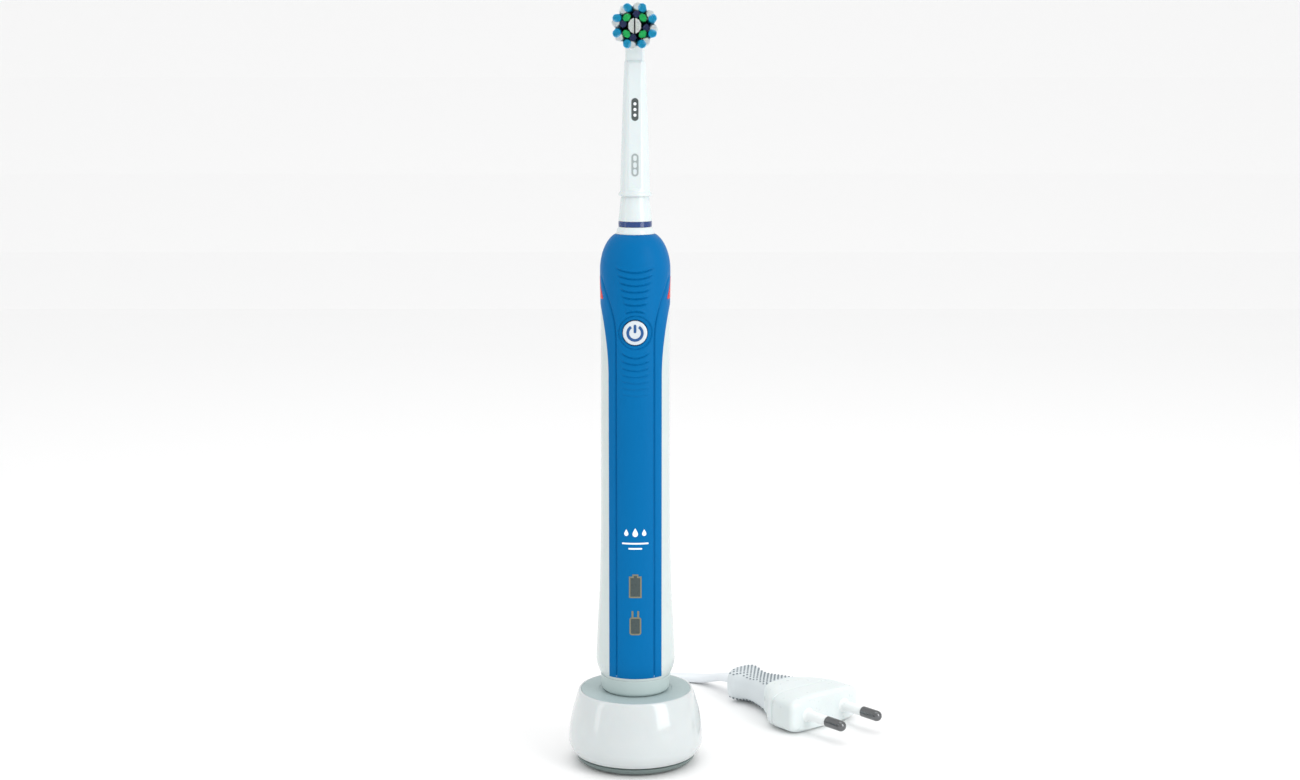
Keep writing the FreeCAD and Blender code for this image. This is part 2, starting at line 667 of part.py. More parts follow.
def build_handle_shells():
    outer = handle_form("handle_outer", 0)
    under_skin = handle_form("handle_under_skin", S.skin_thick)
    groove_floor = handle_form("handle_groove_floor", S.relief)
    rib_top = handle_form("handle_rib_top", -S.relief)
    skin = cut("skin", outer, under_skin)

    far = S.bulge_radius + 2
    opening = NECK - S.panel_open_drop
    full = NECK - S.collar_drop
    flare = opening + (full - opening) * 0.575
    front = prism("panel_front", [
        (-S.panel_half, CAP_TOP + S.panel_gap), (S.panel_half, CAP_TOP + S.panel_gap),
        (S.panel_half, opening), Bend((S.panel_half + 1.6, flare)),
        (S.panel_half + 2.6, full - 3.5), (far, full), (far, NECK + 2), (-far, NECK + 2),
        (-far, full), (-S.panel_half - 2.6, full - 3.5), Bend((-S.panel_half - 1.6, flare)),
        (-S.panel_half, opening),
    ], far)
    back = doc.addObject("Part::Wedge", "panel_back")
    for name, size in (
        ("Xmin", -far), ("Xmax", far), ("Ymin", 0), ("Ymax", far), ("Zmin", full),
        ("Zmax", NECK + 2), ("X2min", -far), ("X2max", far), ("Z2min", full + S.panel_back_rise), ("Z2max", NECK + 2),
    ):
        back.setExpression(name, as_size(size).text)
    panel = common("panel", skin, fuse("panel_extent", front, back))

    lens_low = NECK - S.lens_drop
    lens_box = block("lens_box", (-far, -S.lens_front, lens_low), (far, far, lens_low + S.lens_high))
    button_way = cylinder(
        "button_way", S.button_radius + S.button_gap, far, (0, -far, BUTTON), BACK)
    charge_low = S.charge_icon_level - S.charge_icon_high / 2
    charge = prism("charge_window", stadium(
        S.charge_icon_wide / 2, charge_low, charge_low + S.charge_icon_high, as_size(0.8)), far)
    low_low = S.low_icon_level - S.low_icon_high / 2
    low = prism("low_window", stadium(
        S.low_icon_wide / 2, low_low, low_low + S.low_icon_high, as_size(0.8)), far)
    node("pressure_lens", common("lens", skin, lens_box))
    node("charge_lens", common("charge_window_skin", skin, charge))
    node("low_battery_lens", common("low_window_skin", skin, low))

    inner_groove = S.groove_half - S.groove_wide / 2
    outer_groove = S.groove_half + S.groove_wide / 2
    rails = [
        block(f"groove_rail_{side}", (low_x, -far, CAP_TOP + S.panel_gap), (high_x, 0, opening - 2))
        for side, low_x, high_x in (
            ("right", inner_groove, outer_groove), ("left", -outer_groove, -inner_groove))
    ]
    halo_outside = cylinder("halo_outside", S.ring_radius, far, (0, -far, BUTTON), BACK)
    halo_inside = cylinder(
        "halo_inside", S.ring_radius - S.groove_wide, far, (0, -far, BUTTON), BACK)
    halo = cut("halo", halo_outside, halo_inside)
    shallow = cut("shallow_skin", outer, groove_floor)
    grooves = common("grooves", shallow, fuse("groove_plan", *rails, halo))
    ribs = common("ribs", cut("rib_skin", rib_top, outer), shaped("rib_bars", rib_bars()))
    neck_way = cylinder("neck_way", S.neck_radius - 1.5, 12, (0, 0, NECK - 8))
    skin_holes = [lens_box, button_way, charge, low, grooves, neck_way]
    node("front_grip", fuse("grip_with_ribs", cut("grip_skin", panel, *skin_holes), ribs))

    cavity = lathe("cavity", [
        (0, CAP_TOP), (S.cap_radius - 1.5, CAP_TOP), (S.cap_radius - 1.5, CAP_TOP + 4),
        (CAVITY, CAP_TOP + 5.5), (CAVITY, SHOULDER), (CAVITY - 1.2, SHOULDER + 5.5),
        (S.neck_radius - 1.5, NECK - 3.6), (0, NECK - 3.6),
    ])
    lens_seat = common("lens_seat", skin, lens_box)
    window_seat = common("window_seat", skin, fuse("window_plan", charge, low))
    covered = fuse("covered_by_skin", panel, lens_seat, window_seat)
    node("handle_housing", cut("housing", outer, cavity, neck_way, button_way, covered))


def build_handle_ends():
    bore = S.peg_radius + S.peg_gap
    spigot = S.cap_radius - 1.7
    node("handle_bottom_cap", lathe("cap_turned", [
        (bore, DECK), (S.cap_radius - 0.9, DECK), (S.cap_radius - 0.28, DECK + 0.6),
        (S.cap_radius, CAP_TOP), (spigot, CAP_TOP), (spigot, CAP_TOP + 1.0),
        (spigot - 0.7, CAP_TOP + 1.0), (spigot - 0.7, CAP_TOP + 2.0),
        (spigot, CAP_TOP + 2.0), (spigot, CAP_TOP + 3.0), (spigot - 1.6, CAP_TOP + 3.0),
        (spigot - 1.6, DECK + 2.2), (TUBE_RADIUS, DECK + 2.2), (TUBE_RADIUS, TUBE_TOP),
        (0, TUBE_TOP), (0, TUBE_TOP - S.tube_wall), (bore, TUBE_TOP - S.tube_wall),
    ]))
    seal = doc.addObject("Part::Torus", "seal")
    seal.setExpression("Radius1", (spigot - 0.25).text)
    seal.Radius2 = 0.42
    node("bottom_seal", place(seal, (0, 0, CAP_TOP + 1.5)))
    node("receiver_coil", ring(
        "coil", TUBE_RADIUS + S.coil_gap, S.coil_radius, CAP_TOP + 4.0, TUBE_TOP - S.tube_wall))

    outer = S.neck_radius - 1.5
    seat = outer - 2.4
    node("neck_collar", lathe("collar_turned", [
        (outer, NECK - 8), (outer, NECK), (S.neck_radius, NECK), (S.collar_radius, COLLAR_TOP),
        (S.spigot_radius, COLLAR_TOP), (S.spigot_radius, COLLAR_TOP + S.spigot_high),
        (S.shaft_radius + 0.4, COLLAR_TOP + S.spigot_high), (S.shaft_radius + 0.4, COLLAR_TOP + 0.7),
        (seat, COLLAR_TOP + 0.7), (seat, NECK - 8),
    ]))
    node("upper_bushing", ring(
        "bushing_high", S.shaft_radius + S.running_gap, seat, NECK - 7, NECK - 1))
    node("shaft_seal", ring(
        "seal_high", S.shaft_radius + S.running_gap, seat, NECK, COLLAR_TOP - 0.4))


def build_button():
    front = S.chest_radius + S.button_proud
    cap = cylinder("button_cap", S.button_radius, S.button_thick, (0, -front, BUTTON), BACK)
    node("power_button", cap)
    face = -front - S.symbol_thick
    loop_outside = cylinder("symbol_outside", S.symbol_radius, S.symbol_thick, (0, face, BUTTON), BACK)
    loop_inside = cylinder(
        "symbol_inside", S.symbol_radius - S.symbol_line, S.symbol_thick, (0, face, BUTTON), BACK)
    top = BUTTON + S.symbol_radius
    gap = block("symbol_gap", (-S.symbol_gap / 2, face, BUTTON), (S.symbol_gap / 2, -front, top))
    stroke = block("symbol_stroke", (-S.symbol_line / 2, face, BUTTON), (S.symbol_line / 2, -front, top))
    loop = cut("symbol_loop", loop_outside, loop_inside, gap)
    node("power_symbol", group("symbol", loop, stroke))
    back = S.button_thick + S.press_room - front
    node("button_membrane", cylinder(
        "membrane", S.button_radius + S.button_gap, S.membrane_thick, (0, back, BUTTON), BACK))


# ---------------------------------------------------------------- inside the handle


def build_chassis():
    inner = CHASSIS_RADIUS - S.chassis_wall
    board_back = S.main_board_thick - S.main_board_front
    tray = cut(
        "tray", ring("tray_tube", inner, CHASSIS_RADIUS, CHASSIS_LOW, CHASSIS_TOP),
        block("tray_front", (-CAVITY, -CAVITY, CHASSIS_LOW - 1), (CAVITY, -1, CHASSIS_TOP + 1)))
    front = block("deck_front", (-CAVITY, -CAVITY, CHASSIS_LOW - 1),
                  (CAVITY, board_back + 0.1, CHASSIS_TOP + 1))
    decks = []
    for name, level in (
        ("low", CHASSIS_LOW), ("mid", MID_DECK), ("gear", GEAR_DECK), ("bearing", BEARING_DECK)
    ):
        plate = cylinder(f"{name}_deck_plate", CHASSIS_RADIUS, S.deck_thick, (0, 0, level))
        decks.append(plate)
    solid = cut("chassis_blank", fuse("chassis_all", tray, *decks), front)
    node("chassis", cut(
        "chassis_bored", solid,
        cylinder("motor_nose_way", 2.2, S.deck_thick, (0, MOTOR_Y, GEAR_DECK)),
        cylinder("axle_way", S.axle_radius, S.deck_thick, (0, S.crank_reach, GEAR_DECK)),
        cylinder("bushing_way", S.shaft_radius + 1.4, S.deck_thick, (0, 0, BEARING_DECK))))
    node("lower_bushing", ring(
        "bushing_low", S.shaft_radius + S.running_gap, S.shaft_radius + 1.4,
        BEARING_DECK, BEARING_DECK + 3.5))

    cell = cylinder("cell_can", S.cell_radius, S.cell_long, (0, S.cell_back, CELL_LOW))
    nub = cylinder("cell_nub", 2.6, 1.0, (0, S.cell_back, CELL_TOP))
    node("battery_cell", fuse("cell", cell, nub))
    spring = cone("contact_spring", 4.5, 2.2, S.contact_high, (0, S.cell_back, CELL_LOW - S.contact_high))
    tab = cylinder("contact_tab", 3.2, S.contact_high, (0, S.cell_back, CELL_TOP + 1.0))
    node("battery_contacts", group("contacts", spring, tab))

    board_low = CHASSIS_LOW + 2
    node("main_board", block(
        "main_board_plate", (-S.main_board_half, -S.main_board_front, board_low),
        (S.main_board_half, board_back, BUTTON + 6)))
    back_of_membrane = (
        S.button_thick + S.press_room + S.membrane_thick - S.chest_radius - S.button_proud)
    node("tact_switch", block(
        "switch", (-1.6, back_of_membrane, BUTTON - 1.6), (1.6, -S.main_board_front, BUTTON + 1.6)))
    leds = [
        block(f"led_{i}", (-0.8, -S.main_board_front - 0.8, level - 0.8),
              (0.8, -S.main_board_front, level + 0.8))
        for i, level in enumerate((S.low_icon_level, S.charge_icon_level, BUTTON + 4))
    ]
    node("indicator_lights", group("leds", *leds))


def involute_outline(teeth, module):
    """A closed involute gear outline with short teeth, one tooth pointing along +X."""
    wire = fcgear.FCWireBuilder()
    involute.CreateExternalGear(wire, module, teeth, PRESSURE_ANGLE, True, 0.85, 1.1)
    return Part.Wire([curve.toShape() for curve in wire.wire])


def gear_blank(teeth, turn):
    """A solid gear of the common width, turned so that its teeth mesh at rest."""
    face = Part.Face(involute_outline(teeth, float(S.tooth_module)))
    solid = face.extrude(Vector(0, 0, float(S.gear_wide)))
    solid.rotate(Vector(0, 0, 0), UP, turn)
    return solid


def build_drive():
    room = S.can_wall + 0.3
    can = ring("can_wall_tube", S.can_radius - S.can_wall, S.can_radius, CAN_LOW,
               CAN_TOP - S.can_wall, (0, MOTOR_Y))
    roof = cylinder("can_roof", S.can_radius, S.can_wall, (0, MOTOR_Y, CAN_TOP - S.can_wall))
    nose = cylinder("can_nose", 2.2, 1.0, (0, MOTOR_Y, CAN_TOP))
    nose_way = cylinder(
        "can_nose_way", S.rotor_shaft_radius + S.running_gap, 3,
        (0, MOTOR_Y, CAN_TOP - 1))
    node("motor_can", cut("can", fuse("can_shell", can, roof, nose), nose_way))
    node("motor_end_cap", cylinder("end_cap", S.can_radius, 1.5, (0, MOTOR_Y, CAN_LOW - 1.5)))
    armature = cylinder(
        "armature_stack", S.armature_radius, S.can_long - 2 * room - 4,
        (0, MOTOR_Y, CAN_LOW + room + 2))
    shaft_low = CAN_LOW + 0.2
    shaft_top = GEAR_TOP + 0.2
    shaft = cylinder("rotor_shaft", S.rotor_shaft_radius, shaft_top - shaft_low, (0, MOTOR_Y, shaft_low))
    node("motor_rotor", fuse("rotor", armature, shaft))

    pinion = shaped("pinion_blank", gear_blank(MOTOR_TEETH, 90), (0, MOTOR_Y, GEAR_LOW))
    shaft_way = cylinder("pinion_bore", S.rotor_shaft_radius, S.gear_wide, (0, MOTOR_Y, GEAR_LOW))
    node("motor_pinion", cut("pinion", pinion, shaft_way))

    reach = S.crank_reach
    throw = reach * math.sin(math.radians(float(S.swing_angle)))
    half_tooth = 180 / CRANK_TEETH
    wheel = shaped("wheel_blank", gear_blank(CRANK_TEETH, half_tooth - 90), (0, reach, GEAR_LOW))
    crank_pin = cylinder(
        "crank_pin", S.crank_pin_radius, PIN_TOP - GEAR_TOP, (0, reach + throw, GEAR_TOP))
    wheel_bore = cylinder(
        "wheel_bore", S.axle_radius + S.running_gap, S.gear_wide, (0, reach, GEAR_LOW))
    node("crank_gear", cut("crank", fuse("crank_blank", wheel, crank_pin), wheel_bore))
    node("gear_axle", cylinder(
        "axle", S.axle_radius, GEAR_TOP + 0.4 - GEAR_DECK, (0, reach, GEAR_DECK)))

    slot_half = S.crank_pin_radius + 0.1
    slot_low = reach - throw - S.crank_pin_radius - 0.2
    slot_high = reach + throw + S.crank_pin_radius + 0.2
    hub = cylinder("arm_hub", S.shaft_radius + 1.2, S.arm_thick, (0, 0, ARM_LOW))
    arm = block("arm_bar", (-S.arm_half, 0, ARM_LOW), (S.arm_half, slot_high + 0.8, ARM_TOP))
    slot = block("arm_slot", (-slot_half, slot_low, ARM_LOW), (slot_half, slot_high, ARM_TOP))
    bore = cylinder("arm_bore", S.shaft_radius, S.arm_thick, (0, 0, ARM_LOW))
    node("rocker_arm", cut("rocker", fuse("rocker_blank", hub, arm), slot, bore))

    rod = cylinder("shaft_rod", S.shaft_radius, SHAFT_TOP - ARM_LOW, (0, 0, ARM_LOW))
    flat = block("shaft_flat", (-3, S.shaft_radius * 0.7, SHAFT_TOP - 9), (3, 3, SHAFT_TOP + 1))
    node("drive_shaft", cut("shaft", rod, flat))


# ---------------------------------------------------------------- brush head


def build_head_tube():
    slim = COLLAR_TOP + S.slim_level
    flange = COLLAR_TOP + S.flange_level
    base_bore = S.spigot_radius + S.head_gap
    link_bore = S.shaft_radius + 1.1 + S.head_gap
    bore_top = SHAFT_TOP + 2
    cup_back = S.cup_back
    tube = lathe("head_turned", [
        (0, BAND_TOP), (S.collar_radius - 0.03, BAND_TOP), (S.throat_radius - 0.18, flange - 1.3),
        Bend((S.flange_radius, flange)), (S.throat_radius, flange + 2.1),
        Bend((S.throat_radius - 0.14, flange + 8.9)), Bend((S.throat_radius - 0.4, flange + 17.1)),
        Bend((S.slim_radius + 0.62, slim - 11.5)), (S.slim_radius, slim),
        (S.stem_radius + 0.3, slim + 1.0), (S.stem_radius, slim + 4.3), (S.stem_radius, HEAD),
        (0, HEAD),
    ])
    lip = ring("head_lip", base_bore, base_bore + 0.6, COLLAR_TOP + 0.3, BAND_TOP)
    cup = cylinder("cup", S.cup_radius, S.cup_front + cup_back, (0, -S.cup_front, HEAD), BACK)
    cup_room = cylinder(
        "cup_room", S.cup_radius - S.cup_wall - 0.1, S.cup_front + cup_back - S.cup_wall,
        (0, -S.cup_front, HEAD), BACK)
    boss = cylinder("cup_boss", S.axle_radius + 0.8, 1.6, (0, cup_back - S.cup_wall - 1.5, HEAD), BACK)
    axle_way = cylinder("cup_axle_way", S.axle_radius, cup_back, (0, 0, HEAD), BACK)
    base_room = cylinder("base_room", base_bore, S.spigot_high + 1, (0, 0, COLLAR_TOP + 0.2))
    link_room = cylinder(
        "link_room", link_bore, bore_top - COLLAR_TOP - S.spigot_high,
        (0, 0, COLLAR_TOP + S.spigot_high))
    rod_room = cylinder("rod_room", S.link_radius + 0.9, HEAD - bore_top, (0, 0, bore_top))
    front_room = block("front_room", (-10, -10, HEAD - S.cup_radius), (10, -S.cup_front, HEAD + 10))
    solid = fuse("head_solid", tube, lip, cup)
    hollow = cut("head_hollow", solid, cup_room, base_room, link_room, rod_room, front_room)
    node("head_tube", cut("head", fuse("head_with_boss", hollow, boss), axle_way))

    node("colour_ring", ring("band", base_bore + 0.6, S.collar_radius, COLLAR_TOP, BAND_TOP))
    axle_start = -S.cup_front - 0.5
    node("disc_axle", cylinder(
        "disc_pin", S.axle_radius, cup_back - 0.4 - axle_start, (0, axle_start, HEAD), BACK))


def build_link():
    """The link inside the head: a socket on the shaft, a rod and a finger for the disc."""
    socket_low = SHAFT_TOP - 8
    socket_top = SHAFT_TOP + 1.2
    socket_radius = S.shaft_radius + 1.1
    socket = cylinder("socket", socket_radius, socket_top - socket_low, (0, 0, socket_low))
    bore_radius = S.shaft_radius + 0.12
    bore = cylinder("socket_bore", bore_radius, SHAFT_TOP + 0.2 - socket_low, (0, 0, socket_low))
    keep = block("socket_keep", (-3, S.shaft_radius * 0.7 + 0.12, socket_low), (3, 3, socket_top))
    rod = cylinder("link_rod", S.link_radius, FINGER - socket_top + 0.5, (0, 0, socket_top - 0.5))
    elbow = ball("link_elbow", S.link_radius, (0, 0, FINGER))
    toward = Vector(0, -1, 0)
    stem = cylinder("finger_stem", S.finger_stem_radius, S.finger_reach, (0, 0, FINGER), toward)
    tip = ball("finger_tip", S.finger_radius, (0, -S.finger_reach, FINGER))
    way = cut("socket_way", bore, keep)
    node("drive_link", fuse("link", cut("socket_cut", socket, way), rod, elbow, stem, tip))


def tuft(name, angle, root, tip, radius):
    """A round tuft at an angle about the disc, from its root circle out to its tip circle."""
    turn = math.radians(angle)
    front = -float(S.cup_front) - float(S.head_gap) - float(S.carrier_thick)
    low = Vector(root * math.cos(turn), front + float(S.tuft_sunk), float(HEAD) + root * math.sin(turn))
    high = Vector(tip * math.cos(turn), front - float(S.tuft_long), float(HEAD) + tip * math.sin(turn))
    axis = high - low
    obj = doc.addObject("Part::Cylinder", name)
    obj.Radius = radius
    obj.Height = axis.Length
    obj.Placement = Placement(low, Rotation(UP, axis))
    return obj


def tuft_ring(name, count, start, root, tip, radius):
    return [
        tuft(f"{name}_{i}", start + 360 / count * i, root, tip, radius) for i in range(count)
    ]


def build_disc():
    rear = -S.cup_front - S.head_gap
    plate = cylinder(
        "carrier_plate", S.carrier_radius, S.carrier_thick, (0, rear - S.carrier_thick, HEAD), BACK)
    hub = cylinder("carrier_hub", S.hub_radius, S.hub_thick, (0, rear, HEAD), BACK)
    bore = cylinder(
        "carrier_bore", S.axle_radius + S.running_gap, S.hub_thick + 0.35, (0, rear - 0.35, HEAD), BACK)
    half = S.finger_radius + 0.18
    slot = block(
        "carrier_slot", (-half, -S.finger_reach - S.finger_radius - 0.2, FINGER - 1.3),
        (half, rear + S.hub_thick, FINGER + 1.0))
    node("bristle_disc", cut("carrier", fuse("carrier_blank", plate, hub), bore, slot))

    outer_root = float(S.carrier_radius) - 1.1
    outer_tip = outer_root + 1.3
    inner = 3.5
    node("blue_tufts", group("tufts_blue", *tuft_ring(
        "blue", OUTER_TUFTS, 17.5, outer_root, outer_tip, 0.9)))
    node("white_tufts", group("tufts_white", *tuft_ring(
        "white", OUTER_TUFTS, 40, outer_root, outer_tip, 0.85)))
    node("green_tufts", group("tufts_green", *tuft_ring(
        "green", INNER_TUFTS, 40, inner, inner + 0.4, 0.9)))
    node("navy_tufts", group("tufts_navy", *tuft_ring(
        "navy", INNER_TUFTS, -5, inner, inner + 0.4, 0.9)))
    node("centre_tufts", group("tufts_centre", *tuft_ring("centre", 2, 0, 1.05, 1.1, 0.9)))


def check_and_write():
    """Stops on any failed object, then writes one STEP file per sub-part."""
    doc.recompute()
    failed = [obj.Name for obj in doc.Objects if {"Invalid", "Error"} & set(obj.State)]
    if failed:
        raise RuntimeError(f"failed objects: {failed}")
    os.makedirs("parts", exist_ok=True)
    for obj in nodes:
        if obj.Shape.isNull() or not obj.Shape.isValid() or not obj.Shape.Solids:
            raise RuntimeError(f"bad shape: {obj.Label}")
        obj.Shape.exportStep(f"parts/{obj.Label}.step")
    print(f"{len(nodes)} sub-parts written")


build_charger()
build_cord()
build_plug()
build_handle_shells()
build_handle_ends()
build_button()
build_chassis()
build_drive()
build_head_tube()
build_link()
build_disc()
check_and_write()
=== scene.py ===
"""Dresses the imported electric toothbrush, its charger, lead and plug for a studio view.

Lengths are metres unless a name ends in _mm; MM turns a millimetre figure into metres. The
frame is the model's own: +Z up, the brush facing -Y, the origin under the charger.
"""

import json
import logging
import math
import random
from dataclasses import dataclass, field
from enum import Enum
from typing import Any, Callable, Iterable, Sequence

import bmesh
import bpy
from mathutils import Matrix, Vector

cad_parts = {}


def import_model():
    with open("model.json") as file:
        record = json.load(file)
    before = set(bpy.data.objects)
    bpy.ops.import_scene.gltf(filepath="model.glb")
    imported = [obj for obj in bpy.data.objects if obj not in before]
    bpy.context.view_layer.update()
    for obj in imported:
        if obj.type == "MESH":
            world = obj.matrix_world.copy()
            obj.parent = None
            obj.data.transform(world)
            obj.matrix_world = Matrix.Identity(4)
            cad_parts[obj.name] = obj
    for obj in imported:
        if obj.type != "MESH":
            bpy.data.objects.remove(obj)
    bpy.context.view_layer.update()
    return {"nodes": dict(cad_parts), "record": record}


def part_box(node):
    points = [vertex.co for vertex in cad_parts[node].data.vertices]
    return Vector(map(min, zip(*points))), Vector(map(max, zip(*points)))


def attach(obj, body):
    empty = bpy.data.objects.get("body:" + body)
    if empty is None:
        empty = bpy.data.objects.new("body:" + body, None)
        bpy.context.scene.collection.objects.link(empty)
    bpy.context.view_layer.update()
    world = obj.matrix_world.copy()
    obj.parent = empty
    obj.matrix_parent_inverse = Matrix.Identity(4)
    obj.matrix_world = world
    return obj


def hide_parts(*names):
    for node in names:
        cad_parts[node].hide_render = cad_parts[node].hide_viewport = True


LOG = logging.getLogger("toothbrush")
MM = 0.001
FULL_TURN = 2 * math.pi
SCREEN_GAMMA = 2.2
NOISE_MIDDLE = (0.3, 0.7)  # the range in which most of a noise lies
RIM_WIDTH = 0.6  # how far in from its edge a sheet starts to roll, in millimetres
Profile = Sequence[tuple[float, float]]


# ------------------------------------------------------------------ shader graphs


@dataclass
class Value:
    """A shader socket that answers to Python's arithmetic."""

    graph: "Graph"
    socket: Any

    def _math(self, operation: str, *operands: Any) -> "Value":
        """Adds one Math node over its operands."""
        return self.graph.node("ShaderNodeMath", {"operation": operation}, dict(enumerate(operands)))

    def __add__(self, other: Any) -> "Value":
        """Sum."""
        return self._math("ADD", self, other)

    def __mul__(self, other: Any) -> "Value":
        """Product."""
        return self._math("MULTIPLY", self, other)

    def __gt__(self, other: Any) -> "Value":
        """One where this is greater, else nought."""
        return self._math("GREATER_THAN", self, other)

    def wave(self, period: float) -> "Value":
        """A cosine of this value with the given period, from nought to one."""
        return self._math("COSINE", self * (FULL_TURN / period)) * 0.5 + 0.5


class Graph:
    """Builds one material's nodes."""

    def __init__(self, name: str) -> None:
        """Starts an empty material of that name.

        Args:
            name: the material's name.
        """
        self.material = bpy.data.materials.new(name)
        self.material.use_nodes = True
        self.tree = self.material.node_tree
        self.tree.nodes.clear()

    def node(self, kind: str, settings: dict[str, Any] | None = None,
             inputs: dict[Any, Any] | None = None, output: Any = 0) -> Value:
        """Adds a node, its settings first and then its sockets.

        Args:
            kind: the node's type.
            settings: attributes to set before the sockets.
            inputs: socket names or numbers, with values or links.
            output: the socket to hand back.

        Returns:
            The chosen output as a Value.
        """
        made = self.tree.nodes.new(kind)
        for key, setting in (settings or {}).items():
            setattr(made, key, setting)
        for key, value in (inputs or {}).items():
            if isinstance(value, Value):
                self.tree.links.new(value.socket, made.inputs[key])
            else:
                made.inputs[key].default_value = value
        return Value(self, made.outputs[output] if len(made.outputs) else None)

    def place(self) -> Value:
        """The point of the surface in the piece's own frame."""
        return self.node("ShaderNodeTexCoord", output="Object")

    def coordinates(self) -> list[Value]:
        """The three coordinates of the surface point."""
        split = self.node("ShaderNodeSeparateXYZ", inputs={0: self.place()})
        return [Value(self, socket) for socket in split.socket.node.outputs]

    def noise(self, size_mm: float, detail: float = 2.0,
              stretch: tuple[float, ...] = (1, 1, 1)) -> Value:
        """Adds a noise.

        Args:
            size_mm: about how far its blotches are across.
            detail: how many finer layers it has.
            stretch: the scale on the three axes.

        Returns:
            The noise, from nought to one.
        """
        point = self.place()
        if stretch != (1, 1, 1):
            point = self.node("ShaderNodeMapping", inputs={0: point, "Scale": stretch})
        return self.node("ShaderNodeTexNoise", inputs={
            "Vector": point, "Scale": 1 / (size_mm * MM), "Detail": detail})

    def blend(self, factor: Any, first: Any, second: Any) -> Value:
        """A colour between two colours."""
        return self.node("ShaderNodeMix", {"data_type": "RGBA"}, {0: factor, 6: first, 7: second}, 2)

    def span(self, value: Value, low: float, high: float, to_low: float = 0,
             to_high: float = 1) -> Value:
        """Carries a value from one range to another, held at the ends."""
        ends = {"Value": value, "From Min": low, "From Max": high, "To Min": to_low, "To Max": to_high}
        return self.node("ShaderNodeMapRange", inputs=ends)

    def bump(self, height: Value, depth_mm: float) -> Value:
        """A normal that shows height as relief of about depth_mm."""
        return self.node("ShaderNodeBump", inputs={
            "Height": height, "Distance": depth_mm * MM, "Strength": 1.0})

    def surface(self, **inputs: Any) -> bpy.types.Material:
        """Closes the graph with one Principled shader.

        Args:
            inputs: the shader's sockets, with underscores for spaces.

        Returns:
            The finished material.
        """
        named = {key.replace("_", " "): value for key, value in inputs.items()}
        shader = self.node("ShaderNodeBsdfPrincipled", inputs=named)
        self.node("ShaderNodeOutputMaterial", inputs={"Surface": shader})
        return self.material


def rgba(colour: Sequence[float]) -> tuple[float, float, float, float]:
    """A linear colour with full alpha."""
    return (colour[0], colour[1], colour[2], 1.0)


def from_screen(red: int, green: int, blue: int) -> tuple[float, float, float]:
    """Turns screen numbers from 0 to 255 into a linear colour."""
    return tuple((channel / 255) ** SCREEN_GAMMA for channel in (red, green, blue))


# ------------------------------------------------------------------ finishes


@dataclass(frozen=True)
class Finish:
    """A material for one kind of piece.

    Attributes:
        name: the finish's own name.
        slot: the record's material slot.
        colour: linear base colour.
        roughness: mean roughness.
    """

    name: str
    slot: str
    colour: tuple[float, float, float]
    roughness: float = 0.4

    def build(self) -> bpy.types.Material:
        """Makes the material, or hands back the one already made."""
        return bpy.data.materials.get(self.name) or self.make(Graph(self.name))

    def make(self, graph: Graph) -> bpy.types.Material:
        """Fills the graph; each kind of finish has its own way.

        Args:
            graph: the empty material.

        Returns:
            The finished material.
        """
        raise NotImplementedError

    def tint(self, graph: Graph, factor: Value, low: float, high: float = 1.0) -> Value:
        """The colour times low where the factor is nought, and times high where it is one."""
        ends = [rgba([min(1.0, c * share) for c in self.colour]) for share in (low, high)]
        return graph.blend(factor, *ends)

    def gloss(self, graph: Graph, noise: Value, low: float, high: float) -> Value:
        """The roughness times low to high over the middle of a noise."""
        return graph.span(noise, *NOISE_MIDDLE, self.roughness * low, self.roughness * high)


@dataclass(frozen=True)
class Moulded(Finish):
    """Injection-moulded plastic: faint flow marks, fine grain and small changes of gloss.

    Attributes:
        coat: clear gloss over the colour.
        grain_mm: size of the spark-eroded grain.
        grain_depth_mm: its relief.
        flow: how far the flow marks change the colour.
        body_light: light that enters and leaves again, as in white plastic.
    """

    coat: float = 0.0
    grain_mm: float = 0.12
    grain_depth_mm: float = 0.004
    flow: float = 0.04
    body_light: float = 0.0

    def make(self, graph: Graph) -> bpy.types.Material:
        """Fills the graph, as Finish.make says."""
        return graph.surface(
            Base_Color=self.tint(graph, graph.noise(9.0, 3.0), 1 - self.flow, 1 + self.flow),
            Roughness=self.gloss(graph, graph.noise(2.2), 0.9, 1.12),
            Normal=graph.bump(graph.noise(self.grain_mm, 1.0), self.grain_depth_mm),
            Coat_Weight=self.coat,
            Coat_Roughness=0.06,
            Subsurface_Weight=self.body_light,
            Subsurface_Scale=0.0015,
        )


@dataclass(frozen=True)
class SoftTouch(Finish):
    """Soft overmoulded rubber: a velvety grain, rubbed a little smoother in patches."""

    def make(self, graph: Graph) -> bpy.types.Material:
        """Fills the graph, as Finish.make says."""
        rub = graph.noise(14.0, 4.0)
        grain = graph.noise(0.16) * 0.7 + graph.noise(0.5, 1.0) * 0.3
        return graph.surface(
            Base_Color=self.tint(graph, rub, 0.94),
            Roughness=self.gloss(graph, rub, 0.88, 1.1),
            Normal=graph.bump(grain, 0.01),
            Specular_IOR_Level=0.06,
        )


@dataclass(frozen=True)
class Lens(Finish):
    """Tinted plastic over a light, with a moulded diffusing grain under the gloss.

    Attributes:
        glow: strength of the light that comes through.
    """

    glow: float = 0.0

    def make(self, graph: Graph) -> bpy.types.Material:
        """Fills the graph, as Finish.make says."""
        cloud = graph.noise(0.9)
        tint = self.tint(graph, cloud, 0.92)
        return graph.surface(
            Base_Color=tint,
            Roughness=self.gloss(graph, cloud, 0.8, 1.2),
            Normal=graph.bump(graph.noise(0.25, 1.0), 0.006),
            Emission_Color=tint,
            Emission_Strength=self.glow,
            Specular_IOR_Level=0.15,
            Coat_Weight=0.08,
        )


